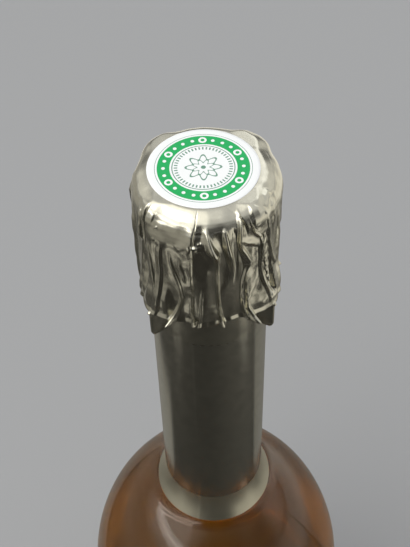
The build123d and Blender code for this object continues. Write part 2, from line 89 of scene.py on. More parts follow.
class Signal:
    """One output of a shader node, so that its maths reads as Python."""

    def __init__(self, tree, socket):
        self.tree = tree
        self.socket = socket

    def math(self, operation, *others):
        inputs = dict(enumerate((self, *others)))
        return self.tree.add("ShaderNodeMath", inputs, operation=operation)

    def __add__(self, other):
        return self.math("ADD", other)

    __radd__ = __add__

    def __sub__(self, other):
        return self.math("SUBTRACT", other)

    def __rsub__(self, other):
        return (self * -1.0) + other

    def __mul__(self, other):
        return self.math("MULTIPLY", other)

    __rmul__ = __mul__

    def __truediv__(self, other):
        return self.math("DIVIDE", other)

    def below(self, edge):
        return self.math("LESS_THAN", edge)

    def above(self, edge):
        return self.math("GREATER_THAN", edge)

    def near(self, middle, reach):
        """1 within a reach of a value, and 0 elsewhere."""
        return (self - middle).math("ABSOLUTE").below(reach)

    def fade(self, low, high):
        """Rises smoothly from 0 at low to 1 at high."""
        inputs = {"Value": self, "From Min": low, "From Max": high}
        return self.tree.add("ShaderNodeMapRange", inputs, interpolation_type="SMOOTHSTEP")

    def either(self, other):
        return self.math("MAXIMUM", other)


class Finish:
    """A material, or the world, under construction."""

    def __init__(self, name, world=False):
        kind = "World" if world else "Material"
        self.block = (bpy.data.worlds if world else bpy.data.materials).new(name)
        self.block.use_nodes = True
        self.nodes = self.block.node_tree.nodes
        self.links = self.block.node_tree.links
        self.nodes.clear()
        self.output = self.nodes.new("ShaderNodeOutput" + kind)

    def add(self, kind, inputs=None, output=0, stops=None, **settings):
        """A node with its settings, then its sockets' values or links."""
        node = self.nodes.new(kind)
        for name, value in settings.items():
            setattr(node, name, value)
        if stops:
            ramp = node.color_ramp.elements
            while len(ramp) < len(stops):
                ramp.new(0.5)
            for element, (position, colour) in zip(ramp, stops):
                element.position = position
                element.color = (*colour, 1.0)
        for key, value in (inputs or {}).items():
            if isinstance(value, Signal):
                self.links.new(value.socket, node.inputs[key])
            else:
                node.inputs[key].default_value = value
        return Signal(self, node.outputs[output])

    def place(self):
        """Object coordinates in millimetres, as a vector."""
        position = self.add("ShaderNodeTexCoord", output="Object")
        inputs = {0: position, "Scale": 1 / mm}
        return self.add("ShaderNodeVectorMath", inputs, operation="SCALE")

    def axes(self, vector):
        """The three parts of a vector."""
        split = self.add("ShaderNodeSeparateXYZ", {0: vector})
        return [Signal(self, socket) for socket in split.socket.node.outputs]

    def polar(self, vector):
        """Radius, azimuth from the front towards +X in radians, and height."""
        x, y, z = self.axes(vector)
        return (x * x + y * y).math("SQRT"), x.math("ARCTAN2", y * -1.0), z

    def stretched(self, vector, scale):
        inputs = {0: vector, 1: scale}
        return self.add("ShaderNodeVectorMath", inputs, operation="MULTIPLY")

    def noise(self, vector, scale, detail=2.0, roughness=0.5):
        inputs = {"Vector": vector, "Scale": scale, "Detail": detail, "Roughness": roughness}
        return self.add("ShaderNodeTexNoise", inputs, output="Fac")

    def mix(self, factor, first, second):
        inputs = {0: factor, 6: colour4(first), 7: colour4(second)}
        return self.add("ShaderNodeMix", inputs, output=2, data_type="RGBA")

    def bump(self, height, distance, strength):
        inputs = {"Height": height, "Distance": distance * mm, "Strength": strength}
        return self.add("ShaderNodeBump", inputs)

    def end(self, shader, socket="Surface"):
        """Links a shader to the output."""
        self.links.new(shader.socket, self.output.inputs[socket])
        return shader

    def surface(self, **sockets):
        """The Principled shader, with sockets named in lower case."""
        inputs = {name.replace("_", " ").title(): value for name, value in sockets.items()}
        inputs = {key.replace("Ior", "IOR"): colour4(value) for key, value in inputs.items()}
        return self.end(self.add("ShaderNodeBsdfPrincipled", inputs))

    def emission(self, tone):
        return self.end(self.add("ShaderNodeEmission", {"Color": colour4(tone), "Strength": 1.0}))


def colour4(value):
    """Adds the alpha to a plain colour, and leaves anything else alone."""
    if isinstance(value, Signal) or not hasattr(value, "__len__") or len(value) != 3:
        return value
    return (*value, 1.0)


def foil_finish(name, colour, roughness, band_top=None):
    """Satin champagne-silver foil, with the paler band at the sleeve's foot where it has one."""
    finish = Finish(name)
    place = finish.place()
    height = finish.axes(place)[2]
    cloud = finish.noise(place, 0.35, detail=3.0)
    grain = finish.noise(place, 6.0, detail=2.0)
    dull = tuple(part * 0.9 for part in colour)
    base = finish.mix(cloud.fade(0.3, 0.7), dull, colour)
    rough = cloud * 0.08 + grain * 0.04 + (roughness - 0.06)
    if band_top:
        band = 1.0 - height.fade(band_top - 0.25, band_top + 0.25)
        warmer = tuple(part * share for part, share in zip(colour, (0.9, 0.87, 0.8)))
        base = finish.mix(band, base, warmer)
        rough = rough + band * 0.2
    relief = finish.bump(grain, 0.02, 0.35)
    finish.surface(base_color=base, metallic=1.0, roughness=rough, normal=relief)
    return finish.block


def seal_finish(settings):
    """White printed paper with a green band, thin rings, dots and a rosette."""
    finish = Finish("seal_paper")
    centre = (-settings.shift_x / mm, -settings.shift_y / mm, 0.0)
    place = finish.add("ShaderNodeVectorMath", {0: finish.place(), 1: centre}, operation="ADD")
    radius, angle, _ = finish.polar(place)
    turn = angle * (1 / math.tau)

    def along_circle(count):
        """Distance along the circle from the nearest of some evenly spaced places."""
        share = ((turn * count + 0.5).math("FRACT") - 0.5) * (1 / count)
        return share * math.tau * radius

    def dots(count, ring, size):
        along = along_circle(count)
        off = radius - ring
        return (along * along + off * off).math("SQRT").below(size)

    def dashes(count, ring, length, width):
        along = along_circle(count).math("ABSOLUTE")
        return along.below(length / 2) * radius.near(ring, width / 2)

    band_in = settings.band_inner / mm
    band_out = settings.band_outer / mm
    band_mid = (band_in + band_out) / 2
    band = radius.near(band_mid, (band_out - band_in) / 2)
    gaps = dots(count=24, ring=band_mid, size=0.42).either(dots(count=6, ring=band_mid, size=0.95))
    green = (band * (1.0 - gaps)).either(dots(count=6, ring=band_mid, size=0.45))
    rings = radius.near(band_in - 0.55, 0.11).either(radius.near(band_out + 0.5, 0.06))
    ticks = dashes(count=48, ring=band_in - 1.35, length=0.34, width=0.8)
    petals = angle * 8.0
    outer_petals = petals.math("COSINE") * 0.75 + 3.2
    inner_petals = (petals + math.pi).math("COSINE") * 0.55 + 2.0
    rosette = radius.near(outer_petals, 0.24).either(radius.near(inner_petals, 0.18))
    ink_lines = rings.either(ticks).either(rosette).either(radius.below(0.55))
    cloud = finish.noise(place, 0.25)
    fibre = finish.noise(place, 9.0, detail=3.0)
    paper = finish.mix(cloud, settings.paper, tuple(part * 0.97 for part in settings.paper))
    printed = finish.mix(green * (fibre * 0.1 + 0.93), paper, settings.green)
    printed = finish.mix(ink_lines * 0.85, printed, settings.ink)
    relief = finish.bump(fibre, 0.02, 0.15)
    finish.surface(base_color=printed, roughness=fibre * 0.1 + 0.4, specular_ior_level=0.2,
                   coat_weight=0.05, coat_roughness=0.25, normal=relief)
    return finish.block


def glass_finish(settings):
    finish = Finish("clear_glass")
    finish.surface(base_color=settings.tint, roughness=0.0, ior=1.5, transmission_weight=1.0,
                   specular_tint=(0.5, 0.5, 0.5))
    return finish.block


def wine_finish(settings):
    """Clear amber liquid, with a little glow for the light that the glass gathers in it."""
    finish = Finish("amber_wine")
    clear = finish.surface(base_color=(1.0, 1.0, 1.0), roughness=0.0, ior=1.34,
                           transmission_weight=1.0)
    glow = finish.surface(base_color=settings.glow, roughness=0.6, specular_ior_level=0.0)
    finish.end(finish.add("ShaderNodeMixShader", {0: 0.14, 1: clear, 2: glow}))
    amber = {"Color": (*settings.wine, 1.0), "Density": settings.wine_density}
    finish.end(finish.add("ShaderNodeVolumeAbsorption", amber), "Volume")
    return finish.block


def wire_finish():
    """Galvanised wire: soft grey metal with a slightly streaky skin."""
    finish = Finish("galvanised_wire")
    place = finish.place()
    spangle = finish.noise(place, 1.6, detail=3.0, roughness=0.65)
    draw_lines = finish.noise(finish.stretched(place, (6.0, 6.0, 0.8)), 1.0, detail=2.0)
    base = finish.mix(spangle.fade(0.3, 0.75), (0.58, 0.575, 0.56), (0.78, 0.775, 0.75))
    relief = finish.bump(draw_lines, 0.02, 0.5)
    finish.surface(base_color=base, metallic=1.0, roughness=spangle * 0.2 + 0.22, normal=relief)
    return finish.block


def cap_finish(settings):
    """Enamelled cap: a pale field, a darker ring and fine radial lines, with a bare metal edge."""
    finish = Finish("cap_enamel")
    place = finish.place()
    radius, angle, height = finish.polar(place)
    ring_middle = 10.6
    rays = (angle * 36.0).math("SINE").above(0.55) * radius.near(ring_middle, 1.5)
    rings = radius.near(8.3, 0.14).either(radius.near(12.8, 0.18)).either(radius.near(5.4, 0.1))
    star = ((angle * 6.0).math("COSINE") * 0.9 + 3.0 - radius).above(0.0)
    field = finish.mix(radius.near(ring_middle, 1.9), settings.enamel, settings.ring)
    field = finish.mix(rays.either(star), field, settings.rays)
    field = finish.mix(rings, field, settings.rays)
    bare = height.below(top_of("cage_cap") - 2.3)
    speckle = finish.noise(place, 2.2, detail=3.0)
    base = finish.mix(bare, field, (0.7, 0.69, 0.66))
    relief = finish.bump(speckle, 0.02, 0.3)
    finish.surface(base_color=base, metallic=bare, roughness=speckle * 0.15 + 0.24,
                   coat_weight=(1.0 - bare) * 0.4, coat_roughness=0.15, normal=relief)
    return finish.block


def cork_finish(name, natural):
    """Cork: pressed granules, or one natural slice with its grain and pores."""
    finish = Finish(name)
    place = finish.place()
    warped = finish.stretched(place, (1.0, 1.0, 0.35 if natural else 1.0))
    cells = {"Vector": warped, "Scale": 0.9 if natural else 0.75, "Randomness": 1.0}
    distance = finish.add("ShaderNodeTexVoronoi", cells, feature="DISTANCE_TO_EDGE")
    tone = finish.axes(finish.add("ShaderNodeTexVoronoi", cells, output="Color"))[0]
    fleck = finish.noise(place, 1.5, detail=4.0, roughness=0.7)
    stops = [(0.0, (0.36, 0.2, 0.09)), (0.45, (0.55, 0.35, 0.18)), (1.0, (0.72, 0.52, 0.31))]
    base = finish.add("ShaderNodeValToRGB", {0: tone * 0.55 + fleck * 0.45}, stops=stops)
    seam = 1.0 - distance.fade(0.0, 0.09)
    pores = fleck.above(0.68 if natural else 0.74)
    dark = (seam * 0.6).either(pores)
    base = finish.mix(dark, base, (0.2, 0.1, 0.045))
    relief = finish.bump(fleck * 0.35 - dark, 0.22, 0.8)
    finish.surface(base_color=base, roughness=0.85, specular_ior_level=0.3, normal=relief)
    return finish.block


def label_finish(name, settings, middle, width, foot, height):
    """Uncoated cream paper with thin border lines and a few plain bars and rings of print."""
    finish = Finish(name)
    place = finish.place()
    x, y, z = finish.axes(place)
    facing = math.radians(middle)
    sideways = x * math.cos(facing) + y * math.sin(facing)
    ahead = x * math.sin(facing) - y * math.cos(facing)
    across = sideways.math("ARCTAN2", ahead) * radius_of("bottle_glass")
    rise = z - (foot + height / 2)
    inset_x = across.math("ABSOLUTE") * -1.0 + width / 2
    inset_y = rise.math("ABSOLUTE") * -1.0 + height / 2
    inset = inset_x.math("MINIMUM", inset_y)
    outer_rule, inner_rule = 3.2, 4.4
    border = inset.near(outer_rule, 0.35).either(inset.near(inner_rule, 0.12))
    bars = rise.near(height * 0.2, 0.5).either(rise.near(-height * 0.28, 0.25))
    bars = bars * across.near(0.0, width * 0.22)
    off = rise - height * 0.02
    disc = (across * across + off * off).math("SQRT")
    medal = disc.near(height * 0.105, 0.35).either(disc.near(height * 0.085, 0.15))
    gold = border.either(bars).either(medal) * inset.above(inner_rule).either(border)
    fibre = finish.noise(finish.stretched(place, (1.0, 1.0, 2.5)), 3.0, detail=4.0, roughness=0.6)
    cloud = finish.noise(place, 0.06, detail=3.0)
    aged = tuple(part * 0.95 for part in settings.paper)
    paper = finish.mix(cloud.fade(0.3, 0.7), settings.paper, aged)
    base = finish.mix(gold, paper, settings.print_colour)
    relief = finish.bump(fibre, 0.05, 0.4)
    finish.surface(base_color=base, metallic=gold * 0.8, roughness=0.75 - gold * 0.4, normal=relief)
    return finish.block


# Meshes


def piece(name, points, faces, material, body, slot, *nodes):
    """A smooth mesh in millimetres that rides on a body and stands for its CAD nodes."""
    mesh = bpy.data.meshes.new(name)
    mesh.from_pydata((np.asarray(points, float) * mm).tolist(), [], faces)
    mesh.validate()
    mesh.shade_smooth()
    mesh.set_sharp_from_angle(angle=math.radians(60))
    mesh.materials.append(material)
    made = bpy.data.objects.new(name, mesh)
    bpy.context.scene.collection.objects.link(made)
    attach(made, body)
    if nodes:
        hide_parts(*nodes)
    return made


def paint(name, material):
    """Gives a CAD node its finish."""
    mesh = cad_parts[name].data
    mesh.materials.clear()
    mesh.materials.append(material)


def grid_faces(rows, columns, start=0, inward=False, closed=False):
    """Quads between rows that run round the axis, and back to the first row where it is closed."""
    faces = []
    for row in range(rows if closed else rows - 1):
        low, high = start + row * columns, start + (row + 1) % rows * columns
        for column in range(columns):
            after = (column + 1) % columns
            quad = (low + column, low + after, high + after, high + column)
            faces.append(quad[::-1] if inward else quad)
    return faces


def fan(pole, start, columns, inward=False):
    """Triangles from a pole to a row."""
    faces = [(pole, start + column, start + (column + 1) % columns) for column in range(columns)]
    return [face[::-1] for face in faces] if inward else faces


def turned(azimuth, radius, height):
    """Points at azimuths from the front, growing towards +X."""
    turn = np.radians(azimuth)
    return np.stack([radius * np.sin(turn), -radius * np.cos(turn), height + 0 * turn], -1)


def lathe(outline, steps, wobble=None):
    """A solid of revolution from an outline that runs from pole to pole, outside on its right."""
    azimuths = np.arange(steps) * 360 / steps
    rings = [turned(azimuths, r, z) for r, z in outline[1:-1]]
    if wobble:
        rings = [wobble(ring) for ring in rings]
    poles = [[0, 0, outline[0][1]], [0, 0, outline[-1][1]]]
    total = len(rings) * steps
    faces = grid_faces(len(rings), steps)
    faces += fan(total, 0, steps, inward=True) + fan(total + 1, total - steps, steps)
    return np.concatenate([*rings, poles]), faces


def sleeve(outline, azimuths, shape):
    """A ring-shaped solid from a closed outline, anticlockwise with the axis on the left."""
    rings = [shape(turned(azimuths, r, z), azimuths) for r, z in outline]
    return np.concatenate(rings), grid_faces(len(rings), len(azimuths), closed=True)


def arc(centre, radius, start, end, steps):
    """Points of an arc, with angles in degrees from outward to up."""
    angles = np.radians(np.linspace(start, end, steps + 1))
    return [(centre[0] + radius * math.cos(a), centre[1] + radius * math.sin(a)) for a in angles]


def rounded(corners, steps=6):
    """A polyline whose inner corners, given as (radius, height, round), are rounded."""
    path = [corners[0][:2]]
    for before, corner, after in zip(corners, corners[1:], corners[2:]):
        point = Vector(corner[:2])
        back = (Vector(before[:2]) - point).normalized()
        ahead = (Vector(after[:2]) - point).normalized()
        size = corner[2] if len(corner) > 2 else 0
        if not size:
            path.append(tuple(point))
            continue
        half = back.angle(ahead) / 2
        reach = size / math.tan(half)
        start, end = point + back * reach, point + ahead * reach
        for step in range(steps + 1):
            share = step / steps
            bend = start * (1 - share) ** 2 + point * 2 * share * (1 - share) + end * share**2
            path.append(tuple(bend))
    path.append(corners[-1][:2])
    return path


# Glass and wine


class GlassSettings(bpy.types.PropertyGroup):
    wall: size_property("Wall", "Thickness of the glass", 3.9)
    heel: size_property("Heel", "Radius of the heel", 8)
    ring_width: size_property("Standing ring", "Width of the standing ring", 2.8)
    punt_depth: size_property("Punt depth", "Height of the hollow underneath", 36)
    punt_dome: size_property("Punt dome", "Radius of the punt's tip", 12)
    punt_glass: size_property("Punt glass", "Glass over the punt", 5.5)
    shoulder: size_property("Shoulder", "Radius of the shoulder's outward curve", 87)
    flare: size_property("Flare", "Radius of the curve from shoulder to neck", 24)
    neck_length: size_property("Neck length", "From the flare to the mouth", 105)
    neck_base: size_property("Neck base", "Radius where the neck meets the flare", 14.88)
    neck_top: size_property("Neck top", "Radius below the collar", 14.42)
    tint: colour_property("Tint", "Colour of the glass", (0.96, 0.98, 0.965))
    wine: colour_property("Wine", "Colour that the wine lets through", (0.9, 0.7, 0.08))
    glow: colour_property("Glow", "Colour of the light gathered in the wine", (0.85, 0.36, 0.045))
    wine_density: FloatProperty(name="Wine density", default=40.0,
                                description="How fast the wine absorbs light, per metre")


# Heights of the mouth's parts, from the lip down, and their radii, in mm
lip_height, groove_height, collar_height = 4.8, 2.4, 6.3
lip_radius, groove_radius, collar_radius, bore_radius = 14.3, 12.9, 15.45, 8.9


class Profile:
    """The glass outline's levels and radii in millimetres."""

    def __init__(self, settings):
        self.top = top_of("bottle_glass")
        self.body = radius_of("bottle_glass")
        self.wall = settings.wall / mm
        self.heel = settings.heel / mm
        self.ring_outer = self.body - self.heel
        self.ring_inner = self.ring_outer - settings.ring_width / mm
        self.punt = settings.punt_depth / mm
        self.dome = settings.punt_dome / mm
        self.punt_glass = settings.punt_glass / mm
        self.shoulder = settings.shoulder / mm
        self.flare = settings.flare / mm
        self.neck_foot = self.top - settings.neck_length / mm
        self.neck_base = settings.neck_base / mm
        self.neck_top = settings.neck_top / mm
        reach = self.body - self.neck_base
        self.arcs = self.shoulder + self.flare
        self.drop = math.sqrt(2 * self.arcs * reach - reach**2)
        self.body_top = self.neck_foot - self.drop
        self.collar_foot = self.top - lip_height - groove_height - collar_height

    def outer(self, height):
        """Outer radius of the glass at a height above the body."""
        if height >= self.neck_foot:
            share = (height - self.neck_foot) / (self.collar_foot - self.neck_foot)
            return self.neck_base + (self.neck_top - self.neck_base) * share
        below = self.neck_foot - height
        if below <= self.drop * self.flare / self.arcs:
            return self.neck_base + self.flare - math.sqrt(self.flare**2 - below**2)
        above = height - self.body_top
        return self.body - self.shoulder + math.sqrt(self.shoulder**2 - above**2)

    def slope(self, extra, steps=44):
        """The shoulder and flare, drawn in by an amount, from the body up to the neck."""
        turn = math.degrees(math.asin(self.drop / self.arcs))
        low = arc((self.body - self.shoulder, self.body_top), self.shoulder - extra, 0, turn, steps)
        flare_centre = (self.neck_base + self.flare, self.neck_foot)
        return low[:-1] + arc(flare_centre, self.flare + extra, 180 + turn, 180, steps)

    def punt_side(self, extra):
        """The punt's dome from the axis, then its straight side's lower direction."""
        centre = self.punt - self.dome
        distance = math.hypot(self.ring_inner, centre)
        lean = math.atan2(centre, self.ring_inner) + math.pi / 2
        normal = lean - math.acos(self.dome / distance)
        normal = math.pi - normal if normal > math.pi / 2 else normal
        dome = arc((0, centre), self.dome + extra, 90, math.degrees(normal), 12)
        return dome, normal

    def outside(self):
        """From the punt's middle over the foot, the body and the mouth, down into the bore."""
        dome, _ = self.punt_side(0)
        lip = self.top - lip_height
        groove = lip - groove_height
        foot = [(self.ring_inner, 0.6), (self.ring_inner + 0.7, 0.0), (self.ring_outer, 0.0)]
        heel = arc((self.ring_outer, self.heel), self.heel, -90, 0, 12)
        body = [(self.body, height) for height in (self.heel + 30, self.body_top - 30)]
        mouth = rounded([
            (self.neck_base, self.neck_foot), (self.neck_top, self.collar_foot, 0.8),
            (collar_radius, self.collar_foot, 0.8), (collar_radius, groove, 0.8),
            (groove_radius, groove, 0.5), (groove_radius, lip, 0.5),
            (lip_radius, lip, 1.0), (lip_radius, self.top, 1.0),
            (bore_radius, self.top, 0.8), (bore_radius, self.top - 20),
        ])
        return dome + foot + heel[1:] + body + self.slope(0) + mouth[1:]

    def inside(self, extra):
        """The inner wall from the bore down to the axis, moved out into the glass by extra."""
        gain = self.wall - extra
        dome, normal = self.punt_side(self.punt_glass - extra)
        wall = self.body - gain
        touch = dome[-1]
        tip = (wall, touch[1] - (wall - touch[0]) * math.cos(normal) / math.sin(normal))
        floor = rounded([touch, (*tip, 5.0), (wall, self.body_top)], steps=10)
        bore_foot = (bore_radius + 0.2 + extra, self.top - 26)
        return [bore_foot] + self.slope(gain)[::-1] + floor[::-1][1:] + dome[::-1][1:]


class BOTTLE_OT_glass(bpy.types.Operator):
    """Turns the clear glass bottle"""

    bl_idname = "bottle.glass"
    bl_label = "Glass"

    def execute(self, context):
        profile = Profile(context.scene.bottle_glass)
        points, faces = lathe(profile.outside() + profile.inside(0), 192)
        material = glass_finish(context.scene.bottle_glass)
        piece("bottle_glass_clear", points, faces, material, "bottle", "glass", "bottle_glass")
        return {"FINISHED"}


class BOTTLE_OT_wine(bpy.types.Operator):
    """Fills the bottle with wine, a hair into the glass so that no air shows between them"""

    bl_idname = "bottle.wine"
    bl_label = "Wine"

    def execute(self, context):
        profile = Profile(context.scene.bottle_glass)
        overlap = 0.12
        level = top_of("wine")
        neck = profile.neck_base - profile.wall + overlap
        surface = [
            (0.0, level - 0.9), (neck - 2.0, level - 0.9), (neck - 0.6, level - 0.5), (neck, level),
        ]
        below = [(r, z) for r, z in profile.inside(overlap) if z < level - 1]
        points, faces = lathe((surface + below)[::-1], 192)
        material = wine_finish(context.scene.bottle_glass)
        piece("wine_fill", points, faces, material, "bottle", "wine", "wine")
        return {"FINISHED"}


# Foil hood


class HoodSettings(bpy.types.PropertyGroup):
    colour: colour_property("Foil colour", "Champagne silver of the foil", (0.7, 0.675, 0.56))
    roughness: FloatProperty(name="Roughness", description="Dullness of the foil", default=0.2,
                             min=0.0, max=1.0)
    columns: IntProperty(name="Columns", description="Points round the front", default=336)
    thickness: size_property("Thickness", "Thickness of the foil", 0.15)
    seed: IntProperty(name="Seed", description="Seed of the pleats at the back", default=11)


hood_foot = foot_of("foil_hood")
hood_top = top_of("foil_hood")

# Section of the hood before its folds: (height above the rim, radius) up to the flat top
hood_section = [
    (0.0, 14.93), (1.2, 14.93), (10.6, 15.06), (10.85, 15.15), (10.95, 15.4), (11.05, 16.35),
    (11.25, 16.6), (11.6, 16.56), (12.8, 16.28), (15.0, 16.6), (18.0, 16.82), (36.0, 16.85),
    (38.5, 16.82), (40.0, 16.72), (41.2, 16.52), (42.2, 16.22), (43.1, 15.8), (43.9, 15.3),
    (44.6, 14.65), (45.2, 13.85), (45.55, 13.2), (45.75, 12.6), (45.85, 11.5),
]
# Heights above the rim of the crinkles' foot, of the lowest wires under the drape (just below
# the belt wire) and of the dome's foot
crinkle_foot, drape_foot, dome_foot = 10.95, 12, 40
# Air between a wire and the foil over it, and the height that stands for no wire at all
wire_gap, no_wire = 0.08, -5.0
# Heights above the rim where the rows' spacing changes, and the rows in each span between them
span_levels = (1.2, 3.6, 8.8, 13.5, 37.0)
span_rows = (3, 10, 10, 24, 72, 44)
cage_wires = ("cage_top_ring", "cage_leg_front_right", "cage_leg_front_left",
              "cage_leg_back_right", "cage_leg_back_left", "belt_wire", "pull_loop")

# Folds read off the front, from top to bottom: (height above the rim, azimuth, height of the
# fold, reach to the left, reach to the right), in mm and degrees
front_ridges = {
    "seam": [
        (36.5, -12.3, 0.0, 1.4, 1), (36, -12.3, 0.5, 1.4, 1), (30, -12.4, 0.45, 1.3, 1.3),
        (22, -12.7, 0.5, 1.5, 1.3), (15, -13.4, 0.55, 1.6, 1.6), (11.5, -13.2, 0.8, 2.4, 3),
        (9.9, -12.6, 1.5, 3, 3.4),
    ],
    "loop_edge": [
        (38.6, -12.2, 0.0, 0.7, 0.7), (38.2, -12.2, 0.4, 0.8, 0.8), (34.2, -12.4, 0.4, 0.8, 0.8),
        (33.6, -12.5, 0.0, 0.8, 0.8),
    ],
    "loop_dot": [
        (38.8, -14.6, 0.0, 1, 1), (37.9, -14.7, 0.45, 1.3, 1.2), (37, -14.9, 0.25, 1.2, 1.2),
        (36.4, -15, 0.0, 1, 1),
    ],
    "centre": [
        (43.4, -1.4, 0.0, 2, 2), (42, -0.6, 0.35, 3, 1.8), (40, 1.6, 0.8, 5, 1.9),
        (38, 4.2, 1.45, 7, 2), (37, 5.8, 1.55, 7, 2), (35.6, 6.6, 1.15, 4, 1.8),
        (32, 6.6, 0.7, 2, 1.3), (28, 6.6, 0.55, 1.5, 1.3), (22, 7, 0.65, 1.6, 1.4),
        (17, 7.8, 0.8, 2, 1.6), (13.5, 9, 1.0, 2.4, 2), (11.5, 10, 1.4, 3, 3.2),
        (9.9, 11.4, 2.1, 4, 4),
    ],
    "second": [
        (43, 12.4, 0.0, 3, 1.5), (42, 13.2, 0.35, 4, 1.8), (39, 14.4, 0.9, 5, 2),
        (35.6, 16.2, 1.45, 5, 2), (33, 17.4, 1.1, 4.4, 2), (30, 18, 0.4, 4, 2),
        (26, 18, 0.0, 3.4, 3),
    ],
    "crumple": [
        (45.2, 27, 0.0, 3, 2), (43.6, 26, 0.7, 3.4, 2), (41, 24.4, 0.95, 2.4, 3.4),
        (38.6, 23.4, 1.0, 1.7, 3), (36.5, 24.6, 0.95, 2, 3), (34.4, 28, 1.0, 4.4, 2.6),
        (32.2, 31, 1.1, 6, 1.8), (30, 31.4, 0.95, 5, 1.6), (28, 28.6, 0.75, 2.4, 1.5),
        (25, 26.2, 0.65, 1.6, 1.3), (20, 25.6, 0.65, 1.5, 1.3), (17, 26.2, 0.7, 1.6, 1.4),
        (14, 28, 0.9, 2, 1.4), (12, 30, 1.1, 2.4, 1.6), (9.9, 31.6, 1.3, 3, 2),
    ],
    "crumple_twin": [
        (28, 28.6, 0.0, 1, 1.4), (25, 29.2, 0.4, 1.1, 1.4), (20, 29.8, 0.6, 1.2, 1.5),
        (16.5, 30.6, 0.6, 1.5, 1.6), (15.4, 31.2, 0.6, 3, 1.8), (14.2, 32.2, 0.9, 5, 2),
        (13, 33.4, 1.6, 6.5, 2.2), (11.8, 34.6, 2.4, 7.5, 2.4), (10.6, 36, 3.1, 8, 2.4),
        (9.9, 36.6, 3.3, 8, 2.4),
    ],
    "leg_crest": [
        (37.6, 42, 0.0, 2, 2), (36.4, 42, 0.5, 2.6, 1.8), (34, 41.8, 0.65, 2.4, 1.6),
        (31, 42.4, 0.65, 2, 1.6), (28, 42.6, 0.45, 1.8, 1.6), (24, 44.2, 0.5, 1.8, 1.6),
        (20, 46.4, 0.5, 1.8, 2), (16.5, 49, 0.4, 2, 2.2), (14, 50.5, 0.3, 2, 2.4),
        (11, 51, 0.0, 2, 3),
    ],
    "blister_edge": [
        (44, 46.5, 0.0, 3, 2), (42.6, 47.4, 0.5, 3.4, 2), (38.5, 50, 0.55, 3, 2),
        (34.5, 52.4, 0.55, 2.5, 2), (30.5, 54.8, 0.65, 3, 2.4), (26.5, 57.6, 0.8, 4, 3),
        (24.4, 59.4, 0.8, 4, 3), (22.6, 61, 0.0, 4, 4),
    ],
    "far_right": [
        (44, 58, 0.0, 5, 2), (42.5, 59, 0.5, 6, 1.8), (39, 60.5, 0.6, 6, 1.8),
        (34, 61.5, 0.45, 5, 2), (29, 63, 0.0, 5, 3),
    ],
    "right_side": [
        (40, 72, 0.0, 5, 5), (36, 71, 0.5, 5, 4), (30, 72, 0.6, 5, 4), (22, 71, 0.6, 6, 4),
        (14, 69, 0.7, 6, 5), (9.9, 68, 0.8, 6, 6),
    ],
    "left_soft": [
        (36.6, -38, 0.0, 3, 3), (34, -38.4, 0.4, 5, 2.4), (27, -38.6, 0.45, 5, 2.4),
        (20, -40, 0.4, 5, 3), (14, -43, 0.4, 5, 4), (10, -46, 0.3, 5, 4),
    ],
    "left_faint": [
        (36.6, -47, 0.0, 2, 3), (33, -48.6, 0.3, 2, 3), (27, -46.4, 0.35, 2, 3),
        (22, -43.8, 0.3, 2, 3), (16, -44.4, 0.0, 2, 3),
    ],
    "left_bow": [
        (35.6, -31.4, 0.0, 2, 2), (32, -30, 0.35, 2, 2.4), (28, -27, 0.5, 2.2, 2.6),
        (24, -23, 0.55, 2.4, 2), (20, -21.6, 0.6, 2.4, 2), (17, -23.6, 0.7, 2.4, 1.8),
        (15.4, -25.4, 0.6, 2.4, 1.8), (14.2, -27, 0.7, 2.2, 2.4), (13, -28.8, 1.1, 2, 3.6),
        (12, -30.4, 1.7, 2.2, 4.6), (11, -31.6, 2.3, 2.4, 5), (9.9, -32.4, 2.7, 2.6, 5),
    ],
    "left_inner": [
        (34.5, -24, 0.0, 2, 4), (31.5, -23, 0.25, 2, 4), (28, -20, 0.3, 2, 4), (25, -19, 0.0, 2, 4),
    ],
    "under_loop": [
        (27, -4.4, 0.0, 2, 2), (22, -5.6, 0.3, 2, 1.8), (16, -6.6, 0.4, 2, 2),
        (13, -8, 0.5, 2, 2.4), (9.9, -9.4, 0.6, 2, 3),
    ],
    "left_flash": [
        (44, -57, 0.0, 5, 3), (42, -57.4, 0.5, 6, 3), (38, -57.6, 0.9, 6, 3),
        (35.4, -57.6, 1.0, 6, 3), (33.2, -58.4, 0.3, 5, 4), (24, -62, 0.4, 6, 4),
        (14, -66, 0.5, 6, 5), (9.9, -68, 0.6, 6, 5),
    ],
    "left_side": [
        (40, -75, 0.0, 6, 6), (35, -75, 0.5, 6, 5), (22, -78, 0.5, 6, 5), (12, -80, 0.6, 6, 6),
        (9.9, -81, 0.6, 6, 6),
    ],
}
